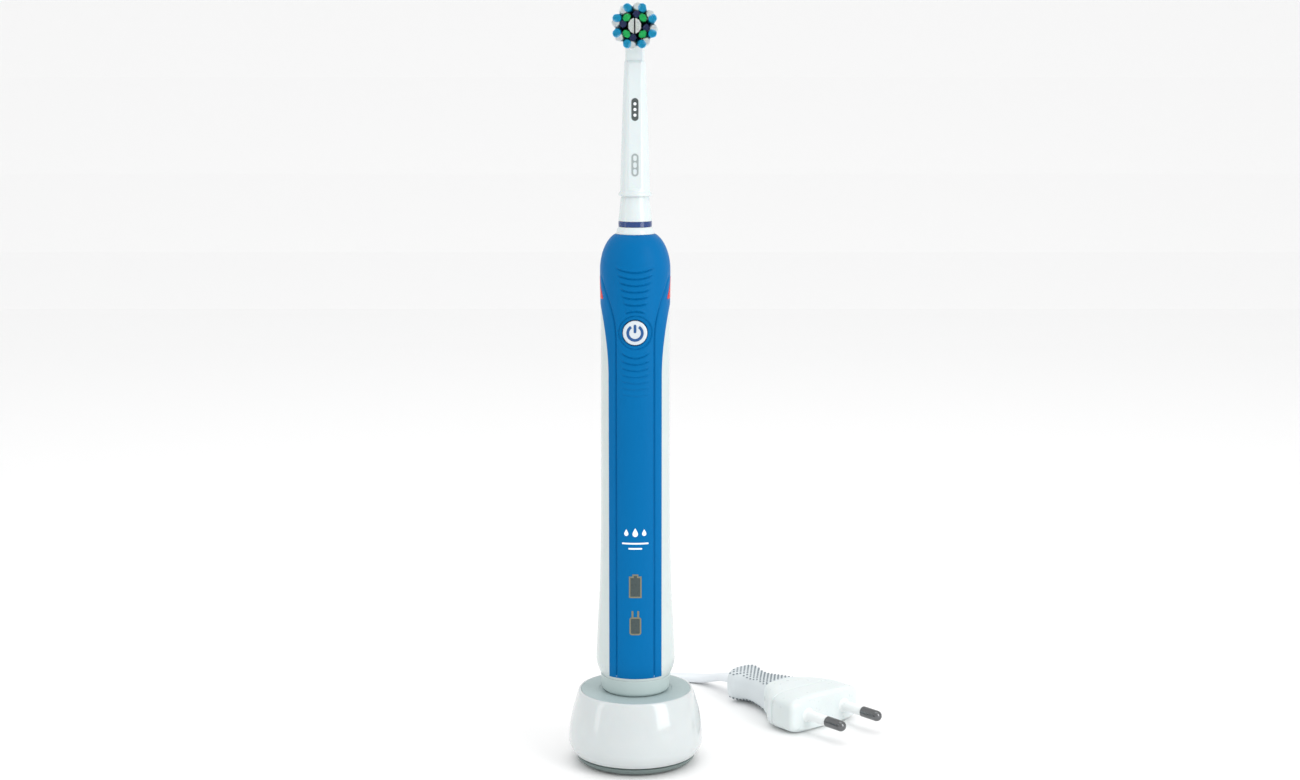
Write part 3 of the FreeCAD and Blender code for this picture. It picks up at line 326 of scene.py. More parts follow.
@dataclass(frozen=True)
class Metal(Finish):
    """Turned or plated metal with fine marks along one way.

    Attributes:
        along: stretch of the marks on the three axes.
        mark_mm: width of a mark.
        mark_depth_mm: relief of the marks.
    """

    along: tuple[float, float, float] = (1, 1, 12)
    mark_mm: float = 0.2
    mark_depth_mm: float = 0.002

    def make(self, graph: Graph) -> bpy.types.Material:
        """Fills the graph, as Finish.make says."""
        marks = graph.noise(self.mark_mm, stretch=self.along)
        return graph.surface(
            Base_Color=self.tint(graph, graph.noise(3.0), 0.82),
            Metallic=1.0,
            Roughness=self.gloss(graph, marks, 0.7, 1.3),
            Normal=graph.bump(marks, self.mark_depth_mm),
        )


@dataclass(frozen=True)
class Nylon(Finish):
    """Bristle filaments, with painted shade darkening them down in the tuft and a painted glint
    brightening their tips.

    Attributes:
        root_y: where the filaments leave the disc.
        tip_y: where they end.
        shade: how much of the colour is left at the root, where the rest is painted shade.
    """

    root_y: float = 0.0
    tip_y: float = -0.01
    shade: float = 0.35

    def make(self, graph: Graph) -> bpy.types.Material:
        """Fills the graph, as Finish.make says."""
        depth = graph.coordinates()[1]
        # rise goes from nought at the root to one at the tip; towards the root the colour is darkened
        # as painted shade.
        rise = graph.span(depth, self.root_y, self.tip_y)
        tone = graph.noise(0.35, 1.0)
        # Painted glint: towards the tips, noisy patches are lightened to a paler colour.
        pale = tuple(min(1.0, c * 1.25 + 0.01) for c in self.colour)
        glint = graph.span(tone, 0.45, 0.7) * rise
        return graph.surface(
            Base_Color=graph.blend(glint, self.tint(graph, rise, self.shade), rgba(pale)),
            Roughness=self.gloss(graph, tone, 0.9, 1.2),
            Normal=graph.bump(tone, 0.01),
            Subsurface_Weight=0.1,
            Subsurface_Scale=0.0006,
        )


@dataclass(frozen=True)
class Winding(Finish):
    """Enamelled copper wire laid in level turns, darkened in the grooves between turns as painted
    shade.

    Attributes:
        wire_mm: the wire's thickness.
    """

    wire_mm: float = 0.28

    def make(self, graph: Graph) -> bpy.types.Material:
        """Fills the graph, as Finish.make says."""
        # turn is low in the grooves between the wires, where the colour is darkened as painted shade.
        turn = graph.coordinates()[2].wave(self.wire_mm * MM)
        return graph.surface(
            Base_Color=self.tint(graph, turn, 0.35),
            Metallic=0.9,
            Roughness=graph.span(turn, 0, 1, self.roughness * 1.4, self.roughness * 0.8),
            Normal=graph.bump(turn, 0.05),
        )


@dataclass(frozen=True)
class Board(Finish):
    """Solder mask over copper tracks."""

    def make(self, graph: Graph) -> bpy.types.Material:
        """Fills the graph, as Finish.make says."""
        x, y, z = graph.coordinates()
        tracks = ((x + z * 0.5).wave(1.6 * MM) > 0.86) * ((y + z).wave(9 * MM) > 0.3)
        return graph.surface(
            Base_Color=self.tint(graph, tracks, 1.0, 1.9),
            Roughness=graph.span(tracks, 0, 1, self.roughness, self.roughness * 0.7),
            Normal=graph.bump(tracks, 0.03),
        )


SHELL_WHITE = Moulded("shell_gloss", "shell_white", (0.56, 0.60, 0.605), 0.16, coat=0.7,
                      grain_depth_mm=0.0015, body_light=0.05)
DECK_GREY = Moulded("deck_matt", "deck_grey", from_screen(166, 182, 183), 0.5, grain_mm=0.2,
                    grain_depth_mm=0.02)
BASE_GREY = Moulded("base_matt", "base_grey", from_screen(110, 123, 121), 0.55, grain_depth_mm=0.02)
CAP_WHITE = Moulded("cap_satin", "cap_white", from_screen(174, 189, 188), 0.32, grain_depth_mm=0.006)
HOUSING_WHITE = Moulded("housing_gloss", "housing_white", from_screen(194, 204, 203), 0.2, coat=0.3,
                        grain_depth_mm=0.0015, body_light=0.05)
GRIP_BLUE = SoftTouch("grip_soft", "grip_blue", from_screen(0, 103, 162), 0.42)
HEAD_WHITE = Moulded("head_satin", "head_white", from_screen(207, 216, 217), 0.22, coat=0.25,
                     grain_depth_mm=0.001, body_light=0.1)
BAND_BLUE = Moulded("band_gloss", "band_blue", from_screen(18, 56, 112), 0.14, coat=0.25,
                    grain_depth_mm=0.001)
LENS_RED = Lens("pressure_red", "lens_red", from_screen(196, 30, 8), 0.25, glow=0.02)
LENS_SMOKE = Lens("icon_smoke", "lens_smoke", from_screen(72, 82, 82), 0.3)
ICON_EDGE = Moulded("icon_edge", "lens_smoke", from_screen(116, 115, 96), 0.35)
BUTTON_SILVER = Moulded("button_pearl", "button_silver", from_screen(200, 208, 214), 0.25, coat=0.4,
                        grain_depth_mm=0.002)
SYMBOL_BLUE = Moulded("symbol_print", "symbol_blue", from_screen(12, 76, 134), 0.35)
MARK_WHITE = Moulded("mark_print", "head_white", from_screen(238, 244, 250), 0.4)
MARK_DARK = Moulded("mark_dark", "seal_rubber", from_screen(70, 78, 78), 0.4)
MARK_GREY = Moulded("mark_grey", "base_grey", from_screen(150, 160, 160), 0.4)
# Dark navy for the disc's face: painted shade deep between the tufts, where the real carrier is white.
DISC_SHADE_NAVY = Moulded("disc_painted_shade", "bristle_navy", from_screen(30, 38, 64), 0.45)
CORD_WHITE = Moulded("cord_satin", "cord_white", from_screen(226, 231, 235), 0.38, grain_depth_mm=0.004)
PLUG_WHITE = Moulded("plug_satin", "plug_white", from_screen(216, 224, 224), 0.3, grain_depth_mm=0.004,
                     body_light=0.05)
GRIP_WHITE = Moulded("plug_grip_matt", "grip_white", from_screen(208, 215, 218), 0.45)
KNOB_GREY = Moulded("knob_grey", "grip_white", from_screen(122, 132, 138), 0.5)
SLEEVE_WHITE = Moulded("sleeve_satin", "sleeve_white", from_screen(232, 236, 236), 0.3)
# The pins' nickel is coloured far darker than bright nickel: a painted dark reflection, so they look
# like dark chrome.
PIN_NICKEL_PAINTED_DARK = Metal("pin_nickel_painted_dark", "pin_metal", (0.17, 0.175, 0.18), 0.11, along=(1, 1, 1), mark_mm=0.5,
                  mark_depth_mm=0.0004)
STEEL = Metal("shaft_steel", "steel", (0.56, 0.57, 0.58), 0.25)
CAN_STEEL = Metal("can_zinc", "can_steel", (0.48, 0.49, 0.51), 0.3)
BRASS = Metal("bushing_brass", "brass", (0.66, 0.47, 0.20), 0.3)
COPPER = Winding("coil_copper", "copper", (0.62, 0.26, 0.12), 0.35)
FERRITE = Moulded("ferrite_black", "ferrite", (0.03, 0.03, 0.032), 0.5, grain_depth_mm=0.03)
BOARD_GREEN = Board("board_mask", "board_green", (0.012, 0.12, 0.045), 0.35)
INNER_PLASTIC = Moulded("inner_grey", "inner_plastic", (0.20, 0.21, 0.22), 0.45)
CHIP_BLACK = Moulded("chip_black", "chip_black", (0.02, 0.02, 0.02), 0.4)
CELL_GREEN = Moulded("cell_sleeve", "cell_green", (0.04, 0.22, 0.11), 0.25, coat=0.3)
SEAL_RUBBER = Moulded("seal_black", "seal_rubber", (0.02, 0.02, 0.022), 0.6, grain_depth_mm=0.01)
FOOT_RUBBER = Moulded("foot_dark", "foot_rubber", (0.06, 0.063, 0.066), 0.65, grain_depth_mm=0.02)

CARRIED_OVER = {finish.slot: finish for finish in (
    STEEL, CAN_STEEL, BRASS, COPPER, FERRITE, BOARD_GREEN, INNER_PLASTIC, CHIP_BLACK, CELL_GREEN,
    SEAL_RUBBER, FOOT_RUBBER, LENS_SMOKE)}


# ------------------------------------------------------------------ mesh helpers


def settle(mesh: bmesh.types.BMesh, name: str, body: str, finish: Finish,
           nodes: Iterable[str] = (), sharp: float = 35.0) -> bpy.types.Object:
    """Turns a bmesh into a finished piece that rides on a body.

    Args:
        mesh: the shape, in place; it is freed.
        name: the piece's name.
        body: the CAD body it moves with.
        finish: its material.
        nodes: the CAD nodes it stands for.
        sharp: edges turning more than this many degrees stay crisp.

    Returns:
        The piece.
    """
    data = bpy.data.meshes.new(name)
    mesh.to_mesh(data)
    mesh.free()
    data.polygons.foreach_set("use_smooth", [True] * len(data.polygons))
    data.set_sharp_from_angle(angle=math.radians(sharp))
    piece = bpy.data.objects.new(name, data)
    bpy.context.scene.collection.objects.link(piece)
    data.materials.append(finish.build())
    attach(piece, body)
    if nodes:
        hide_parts(*nodes)
    LOG.info("piece %s on %s: %d faces", name, body, len(data.polygons))
    return piece


def smooth_run(points: Profile, steps: int = 6) -> list[tuple[float, float]]:
    """Points along a smooth line through the given ones.

    Args:
        points: what the line passes through.
        steps: pieces between neighbours.

    Returns:
        The points, ends included.
    """
    ends = [points[0], *points, points[-1]]
    line = []
    for before, start, end, after in zip(ends, ends[1:], ends[2:], ends[3:]):
        for step in range(steps):
            t = step / steps
            line.append(tuple(
                0.5 * (2 * b + (c - a) * t + (2 * a - 5 * b + 4 * c - d) * t * t
                       + (3 * b - a - 3 * c + d) * t ** 3)
                for a, b, c, d in zip(before, start, end, after)))
    return line + [tuple(points[-1])]


def spun(profile: Profile, closed: bool, steps: int = 96) -> bmesh.types.BMesh:
    """Spins a profile of (radius, level) points, in millimetres, about the Z axis.

    Args:
        profile: the points, outside first.
        closed: whether the last point joins the first.
        steps: facets in the turn.

    Returns:
        The turned shape, facing outwards.
    """
    mesh = bmesh.new()
    corners = [mesh.verts.new((radius * MM, 0, level * MM)) for radius, level in profile]
    pairs = list(zip(corners, corners[1:])) + ([(corners[-1], corners[0])] if closed else [])
    edges = [mesh.edges.new(pair) for pair in pairs]
    bmesh.ops.spin(mesh, geom=corners + edges, cent=(0, 0, 0), axis=(0, 0, 1), angle=FULL_TURN,
                   steps=steps, use_merge=True)
    bmesh.ops.remove_doubles(mesh, verts=mesh.verts, dist=1e-7)
    bmesh.ops.recalc_face_normals(mesh, faces=mesh.faces)
    return mesh


def mapped_grid(columns: int, rows: int, shape: Callable[[float, float], Sequence[float]],
                wrap: bool = False) -> bmesh.types.BMesh:
    """Bends a flat grid into a surface.

    Args:
        columns: faces across, where the first number runs from -1 to 1.
        rows: faces up, where the second number runs from 0 to 1.
        shape: gives a point in millimetres for the two numbers.
        wrap: whether the two sides meet.

    Returns:
        The bent grid.
    """
    mesh = bmesh.new()
    bmesh.ops.create_grid(mesh, x_segments=columns, y_segments=rows, size=1.0)
    for corner in mesh.verts:
        corner.co = Vector(shape(corner.co.x, (corner.co.y + 1) / 2)) * MM
    if wrap:
        bmesh.ops.remove_doubles(mesh, verts=mesh.verts, dist=2e-6)
    bmesh.ops.recalc_face_normals(mesh, faces=mesh.faces)
    return mesh


def face_out(mesh: bmesh.types.BMesh) -> None:
    """Makes an open sheet round the Z axis look away from that axis.

    Args:
        mesh: the sheet to put right.
    """
    bmesh.ops.recalc_face_normals(mesh, faces=mesh.faces)
    away = sum(face.calc_area() * face.normal.dot(face.calc_center_median() * Vector((1, 1, 0)))
               for face in mesh.faces)
    if away < 0:
        bmesh.ops.reverse_faces(mesh, faces=mesh.faces)


def capped(mesh: bmesh.types.BMesh) -> bmesh.types.BMesh:
    """Closes the open ends of a tube and turns its faces outwards; hands it back."""
    bmesh.ops.holes_fill(mesh, edges=[e for e in mesh.edges if e.is_boundary], sides=0)
    bmesh.ops.recalc_face_normals(mesh, faces=mesh.faces)
    return mesh


def middle_level(node: str) -> float:
    """The height of a CAD node's middle, in millimetres."""
    return sum(corner.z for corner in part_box(node)) / 2 / MM


def turn_to_front(level_mm: float) -> Matrix:
    """Carries a piece turned about Z to one that faces -Y at a level."""
    return Matrix.Translation((0, 0, level_mm * MM)) @ Matrix.Rotation(math.pi / 2, 4, "X")


def plate(outline: Sequence[tuple[float, float]], thick_mm: float,
          holes: Iterable[Sequence[tuple[float, float]]] = ()) -> bmesh.types.BMesh:
    """A flat plate in the XZ plane, its face at y = 0 and its back behind it.

    Args:
        outline: (x, z) points in millimetres.
        thick_mm: its thickness.
        holes: outlines to leave open.

    Returns:
        The plate.
    """
    mesh = bmesh.new()
    edges = []
    for loop in (outline, *holes):
        corners = [mesh.verts.new((x * MM, 0, z * MM)) for x, z in loop]
        edges += [mesh.edges.new(pair) for pair in zip(corners, corners[1:] + corners[:1])]
    bmesh.ops.triangle_fill(mesh, edges=edges, use_beauty=True, use_dissolve=False)
    made = bmesh.ops.extrude_face_region(mesh, geom=mesh.faces[:])
    moved = [v for v in made["geom"] if isinstance(v, bmesh.types.BMVert)]
    bmesh.ops.translate(mesh, verts=moved, vec=(0, thick_mm * MM, 0))
    bmesh.ops.recalc_face_normals(mesh, faces=mesh.faces)
    return mesh


def round_box(x_half: float, z_half: float, radius: float, centre: tuple[float, float] = (0, 0),
              steps: int = 6) -> list[tuple[float, float]]:
    """The outline of a rectangle with round corners.

    Args:
        x_half: half its width.
        z_half: half its height.
        radius: the corners' radius.
        centre: its middle.
        steps: pieces in a corner.

    Returns:
        The outline, anticlockwise.
    """
    outline = []
    for corner, (sx, sz) in enumerate(((1, 1), (-1, 1), (-1, -1), (1, -1))):
        for step in range(steps + 1):
            turn = math.radians(90 * corner + 90 * step / steps)
            outline.append((centre[0] + sx * (x_half - radius) + radius * math.cos(turn),
                            centre[1] + sz * (z_half - radius) + radius * math.sin(turn)))
    return outline


def circle(radius: float, level: float, steps: int = 28) -> list[tuple[float, float]]:
    """The outline of a circle round a point above the middle."""
    turns = [FULL_TURN * i / steps for i in range(steps)]
    return [(radius * math.cos(turn), level + radius * math.sin(turn)) for turn in turns]


def join(meshes: Iterable[bmesh.types.BMesh]) -> bmesh.types.BMesh:
    """Gathers several shapes into one.

    Args:
        meshes: the shapes; they are freed.

    Returns:
        The one shape.
    """
    whole = bmesh.new()
    for mesh in meshes:
        data = bpy.data.meshes.new("part")
        mesh.to_mesh(data)
        mesh.free()
        whole.from_mesh(data)
        bpy.data.meshes.remove(data)
    return whole


def squared(value: float, power: float) -> float:
    """Bends a sine or cosine so that a circle turns into a rounded square."""
    return math.copysign(abs(value) ** (2 / power), value)


def smooth_step(low: float, high: float, value: float) -> float:
    """Nought below low, one above high, and smooth between."""
    t = min(1.0, max(0.0, (value - low) / (high - low)))
    return t * t * (3 - 2 * t)


def rolled(edge: float, depth: float) -> float:
    """How far a sheet's rounded rim dips at a distance from its edge, at most by depth."""
    return depth * (1 - math.sqrt(max(0.0, 1 - max(0.0, 1 - edge / RIM_WIDTH) ** 2)))


# ------------------------------------------------------------------ the charger


@dataclass
class Charger:
    """The round charging base.

    Attributes:
        seam: level where the shell meets the base plate.
        deck: level of the flat top.
        rim: radius of the top's edge.
        belly: the widest radius, and belly_level its level.
        foot: radius at the seam.
        peg: radius of the charging peg, and peg_top its level.
    """

    seam: float = 3.4
    belly_level: float = 8.0
    foot: float = 21.9
    deck: float = field(default_factory=lambda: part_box("charger_deck_plate")[1].z / MM)
    belly: float = field(default_factory=lambda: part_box("charger_shell")[1].x / MM)
    peg_top: float = field(default_factory=lambda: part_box("charger_shell")[1].z / MM)
    rim: float = 20.4
    peg: float = 4.2

    def build(self) -> None:
        """Builds the shell, the deck, the base plate and the feet."""
        self.build_shell()
        self.build_top()
        self.build_base()

    def build_shell(self) -> None:
        """Builds the glossy shell with its peg."""
        flank = smooth_run([
            (self.foot, self.seam + 0.25), (self.belly - 0.75, self.seam + 2.1),
            (self.belly, self.belly_level), (self.belly - 0.35, 13.0), (self.belly - 1.35, 18.5),
            (self.rim + 0.75, self.deck - 2.6), (self.rim + 0.1, self.deck - 0.9)], 7)
        lip = [(self.rim - 0.12, self.deck - 0.35), (self.rim - 0.4, self.deck - 0.06),
               (self.rim - 0.75, self.deck)]
        seat = [(self.rim - 0.95, self.deck - 0.12), (self.rim - 0.95, self.deck - 0.8),
                (self.peg, self.deck - 0.8)]
        peg = [(self.peg, self.peg_top - 1.2), (self.peg - 0.35, self.peg_top - 0.35),
               (self.peg - 1.2, self.peg_top), (0, self.peg_top)]
        wall = 1.6
        inside = [(0, self.peg_top - wall), (self.peg - wall, self.peg_top - wall),
                  (self.peg - wall, self.deck - 2 * wall), (self.rim - wall, self.deck - 2 * wall),
                  (self.belly - wall, self.belly_level + wall), (self.foot - wall, self.seam),
                  (self.foot - 0.35, self.seam)]
        shell = spun(inside + flank + lip + seat + peg, closed=False, steps=160)
        settle(shell, "charger_housing", "charger", SHELL_WHITE, ["charger_shell"], sharp=40)

    def build_top(self) -> None:
        """Builds the matt deck round the peg."""
        top = spun([
            (self.rim - 1.0, self.deck - 0.75), (self.rim - 1.0, self.deck - 0.1),
            (self.rim - 1.1, self.deck), (12.9, self.deck), (12.75, self.deck - 0.12),
            (self.peg + 0.9, self.deck - 0.12), (self.peg + 0.5, self.deck - 0.3),
            (self.peg + 0.08, self.deck - 0.3), (self.peg + 0.08, self.deck - 0.75),
        ], closed=True, steps=128)
        settle(top, "charger_top", "charger", DECK_GREY, ["charger_deck_plate"])

    def build_base(self) -> None:
        """Builds the base plate and its four feet."""
        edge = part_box("charger_base_plate")[1].x / MM
        base = spun([
            (0, 0.6), (edge - 2.6, 0.6), (edge - 1.2, 0.95), (edge - 0.35, 1.75), (edge, 2.5),
            (edge - 0.1, 2.75), (edge - 0.4, 2.9), (edge - 2.4, 2.9), (edge - 2.4, 4.9),
            (edge - 3.4, 4.9), (edge - 3.4, 2.5), (0, 2.5),
        ], closed=False, steps=128)
        settle(base, "charger_underside", "charger", BASE_GREY, ["charger_base_plate"])

        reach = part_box("charger_feet")[1].x / MM - 3.0
        feet = []
        for across in (-reach, reach):
            for along in (-reach, reach):
                foot = spun([(0, 0), (2.3, 0), (2.8, 0.15), (3.0, 0.5), (3.0, 1.2), (0, 1.2)],
                            closed=False, steps=32)
                bmesh.ops.translate(foot, verts=foot.verts, vec=(across * MM, along * MM, 0))
                feet.append(foot)
        settle(join(feet), "feet", "charger", FOOT_RUBBER, ["charger_feet"])


# ------------------------------------------------------------------ the lead and its plug


@dataclass
class Lead:
    """The flat mains lead, its strain relief and the two-pin plug.

    Attributes:
        wide: the lead's width.
        thick: its thickness.
        joint: how far from the plug's rear end its grip meets its body.
        face: how far from the plug's rear end its face is.
        pin_apart: half the distance between the pins.
        grip_power: how square the grip's sections are; 2 is an ellipse.
        route: the points the lead follows, from the charger to the plug.
        line: the finished centre line, in metres.
    """

    wide: float = 5.2
    thick: float = 3.2
    joint: float = 24.0
    face: float = 48.0
    pin_apart: float = 9.3
    grip_power: float = 3.4
    line: list[Vector] = field(default_factory=list)
    route: tuple[tuple[float, float, float], ...] = (
        (0.0, 30.0, 5.4), (0.0, 38.0, 5.4), (-0.5, 46.5, 3.8), (-1.4, 56.0, 2.1),
        (-1.7, 66.0, 1.6), (-0.9, 75.5, 1.6), (1.8, 84.2, 1.6), (6.8, 90.4, 1.6),
        (13.4, 93.4, 1.6), (20.6, 92.8, 1.6), (27.0, 89.4, 2.3), (31.8, 83.6, 4.6),
        (35.6, 77.2, 6.85), (40.4, 71.4, 6.85),
    )

    def centre_line(self) -> list[Vector]:
        """Draws the smooth line that the lead follows.

        Returns:
            Its points, in metres.
        """
        data = bpy.data.curves.new("lead_route", "CURVE")
        data.dimensions = "3D"
        spline = data.splines.new("NURBS")
        spline.points.add(len(self.route) - 1)
        for point, place in zip(spline.points, self.route):
            point.co = (*(value * MM for value in place), 1.0)
        spline.order_u = 3
        spline.use_endpoint_u = True
        data.resolution_u = 8
        guide = bpy.data.objects.new("lead_guide", data)
        drawn = bpy.data.meshes.new_from_object(guide)
        line = [vertex.co.copy() for vertex in drawn.vertices]
        bpy.data.meshes.remove(drawn)
        bpy.data.objects.remove(guide)
        bpy.data.curves.remove(data)
        return line

    def section(self, turn: float) -> tuple[float, float]:
        """The flat lead's outline: two round edges and a shallow valley between the cores.

        Args:
            turn: the angle round the outline.

        Returns:
            How far across and how far up, in millimetres.
        """
        flat = (self.wide - self.thick) / 2
        cosine, sine = math.cos(turn), math.sin(turn)
        across = cosine * self.thick / 2 + math.copysign(flat, cosine) * min(1.0, abs(cosine) * 2.2)
        valley = 0.16 * math.exp(-(across / 0.55) ** 2)
        up = math.copysign(min(self.thick / 2, abs(sine) ** 0.8 * self.thick / 2), sine)
        return across, up * (1 - valley)

    def build_lead(self) -> bpy.types.Object:
        """Builds the lead itself, and keeps its centre line.

        Returns:
            The piece.
        """
        line = self.centre_line()

        def shape(across: float, along: float) -> tuple[float, float, float]:
            """A point on the lead's skin, for mapped_grid."""
            index = min(len(line) - 1, round(along * (len(line) - 1)))
            before, after = line[max(0, index - 1)], line[min(len(line) - 1, index + 1)]
            way = (after - before).normalized()
            side = way.cross(Vector((0, 0, 1))).normalized()
            up = side.cross(way)
            right, rise = self.section(math.pi * (across + 1))
            return tuple(line[index] / MM + side * right + up * rise)

        self.line = line
        mesh = capped(mapped_grid(28, len(line) - 1, shape, wrap=True))
        return settle(mesh, "lead", "charger", CORD_WHITE, ["mains_cord"], sharp=60)

    def build_relief(self) -> bpy.types.Object:
        """Builds the ribbed strain relief where the lead leaves the charger.

        Returns:
            The piece.
        """
        start, end = (corner.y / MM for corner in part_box("cord_gland"))
        stations = [(start, 4.6, 2.0), (start + 1.3, 4.6, 2.0), (start + 1.4, 3.5, 2.0),
                    (end - 5.6, 3.5, 2.0)]
        for i in range(4):
            grow = 3.35 - 0.1 * i
            at = end - 5.4 + 1.4 * i
            stations += [(at, grow, 1.92), (at + 0.85, grow - 0.03, 1.9), (at + 0.95, 2.8, 1.7),
                         (at + 1.25, 2.8, 1.7)]
        stations[-1] = (end, 2.75, 1.68)
        mesh = self.lofted(stations, 3.6, Vector((0, 0, self.route[0][2])), Vector((0, 1, 0)))
        return settle(mesh, "strain_relief", "charger", CORD_WHITE, ["cord_gland"], sharp=30)

    @staticmethod
    def lofted(stations: Sequence[tuple[float, float, float]], power: float, origin: Vector,
               way: Vector, rings: int = 56) -> bmesh.types.BMesh:
        """A shape of rounded sections along a level direction.

        Args:
            stations: (distance, half width, half thickness), in millimetres.
            power: how square the sections are; 2 is an ellipse.
            origin: where distance nought is, in millimetres.
            way: the direction of the distances.
            rings: faces round a section.

        Returns:
            The closed shape.
        """
        side = Vector((-way.y, way.x, 0))

        def shape(across: float, along: float) -> tuple[float, float, float]:
            """A point on the section at that share of the stations, for mapped_grid."""
            index = round(along * (len(stations) - 1))
            distance, half_wide, half_thick = stations[index]
            turn = math.pi * (across + 1)
            return tuple(origin + way * distance + side * (half_wide * squared(math.cos(turn), power))
                         + Vector((0, 0, half_thick * squared(math.sin(turn), power))))

        return capped(mapped_grid(rings, len(stations) - 1, shape, wrap=True))

    @staticmethod
    def grip_thick(along: float) -> float:
        """Half the thickness of the plug's grip at a distance from its rear end."""
        waist = 0.75 * math.exp(-((along - 11) / 6.5) ** 2)
        return 6.2 - waist - 1.5 * max(0.0, 1 - along / 0.8) ** 2

    def body_thick(self, along: float) -> float:
        """Half the thickness of the plug's body, less at its seam and towards its face.

        Args:
            along: the distance from the plug's rear end.

        Returns:
            The half thickness, in millimetres.
        """
        seam = 0.28 if 36.5 < along < 37.0 else 0.0
        swell = 0.58 * smooth_step(self.joint, self.joint + 6, along)
        return 6.25 + swell - seam - 1.3 * smooth_step(self.face - 2.8, self.face, along) ** 2

    def build_plug(self) -> list[bpy.types.Object]:
        """Builds the plug's body, grip, knobs, sleeves and pins.

        Returns:
            The pieces.
        """
        rear = Vector(self.route[-1])
        way = (rear - Vector(self.route[-2])).normalized()

        grip_run = smooth_run([
            (0.0, 5.6), (0.35, 7.0), (1.3, 7.75), (2.6, 7.95), (3.9, 7.7), (5.4, 6.7), (8.0, 5.85),
            (12.0, 5.75), (16.5, 6.7), (20.5, 8.1), (self.joint, 9.5)], 5)
        grip = self.lofted([(u, w, self.grip_thick(u)) for u, w in grip_run], self.grip_power, rear,
                           way)
        body_run = smooth_run([
            (self.joint, 9.55), (27.5, 11.6), (31.5, 14.9), (34.2, 16.6), (36.3, 17.25)], 5)
        body_run += [(36.55, 17.0), (36.95, 17.0), (37.2, 17.4)]
        body_run += smooth_run([(37.6, 17.5), (41.0, 17.62), (45.0, 17.6), (46.8, 17.2), (47.7, 16.2),
                                (self.face, 15.0)], 4)
        body = self.lofted([(u, w, self.body_thick(u)) for u, w in body_run], 5.0, rear, way, 72)
        pieces = [
            settle(grip, "plug_handle", "charger", GRIP_WHITE, ["plug_grip"], sharp=50),
            settle(body, "plug_moulding", "charger", PLUG_WHITE, ["plug_body"], sharp=50),
            self.build_knobs(grip_run, rear, way),
        ]
        return pieces + self.build_pins(rear, way)

    def build_pins(self, rear: Vector, way: Vector) -> list[bpy.types.Object]:
        """Builds the two pins and the sleeves round their feet.

        Args:
            rear: the plug's rear end, in millimetres.
            way: the direction the plug points.

        Returns:
            The two pieces.
        """
        sleeves, pins = [], []
        for across in (-self.pin_apart, self.pin_apart):
            foot = rear + way * self.face + Vector((-way.y, way.x, 0)) * across
            place = (Matrix.Translation(foot * MM)
                     @ way.to_track_quat("Z", "Y").to_matrix().to_4x4())
            flare = smooth_run([(1.5, -0.3), (2.9, -0.25), (2.55, 0.15), (2.05, 0.8), (1.9, 1.6)], 4)
            sleeve = spun(flare + [(1.9, 9.7), (1.75, 10.0), (1.5, 10.0)], closed=True, steps=36)
            sleeve.transform(place)
            sleeves.append(sleeve)
            tip = [(2.0 * math.cos(math.radians(a)), 17.0 + 2.0 * math.sin(math.radians(a)))
                   for a in range(0, 91, 10)]
            pin = spun([(0, 0.2), (1.45, 0.2), (1.45, 10.02), (1.8, 10.02), (2.0, 10.25)] + tip,
                       closed=False, steps=40)
            pin.transform(place)
            pins.append(pin)
        return [settle(join(sleeves), "pin_sleeves", "charger", SLEEVE_WHITE, ["plug_pin_sleeves"]),
                settle(join(pins), "pins", "charger", PIN_NICKEL_PAINTED_DARK, ["plug_pins"])]

    def build_knobs(self, run: Profile, rear: Vector, way: Vector) -> bpy.types.Object:
        """Builds the rows of small knobs on the plug's grip, above and below.

        Args:
            run: the grip's (distance, half width) points.
            rear: the grip's rear end, in millimetres.
            way: the direction the plug points.

        Returns:
            The piece.
        """
        side = Vector((-way.y, way.x, 0))
        whole = bmesh.new()
        pitch = 1.9
        for row in range(1, 24):
            along = 0.7 + pitch / 2 * row
            _, half = min((abs(distance - along), width) for distance, width in run)
            for column in range(-5, 6):
                across = (column + 0.5 * (row % 2)) * pitch
                if abs(across) > half * 0.86:
                    continue
                share = abs(across) / half
                rise = self.grip_thick(along) * (1 - share ** self.grip_power) ** (1 / self.grip_power)
                for up in (1, -1):
                    centre = rear + way * along + side * across + Vector((0, 0, up * (rise + 0.02)))
                    made = bmesh.ops.create_cone(whole, cap_ends=True, segments=10, radius1=0.5 * MM,
                                                 radius2=0.3 * MM, depth=0.34 * MM)
                    place = Matrix.Translation(centre * MM)
                    if up < 0:
                        place = place @ Matrix.Rotation(math.pi, 4, "X")
                    bmesh.ops.transform(whole, matrix=place, verts=made["verts"])
        return settle(whole, "grip_knobs", "charger", KNOB_GREY)

    def build(self) -> None:
        lead = self.build_lead()
        relief = self.build_relief()
        pieces = self.build_plug()


# ------------------------------------------------------------------ the handle


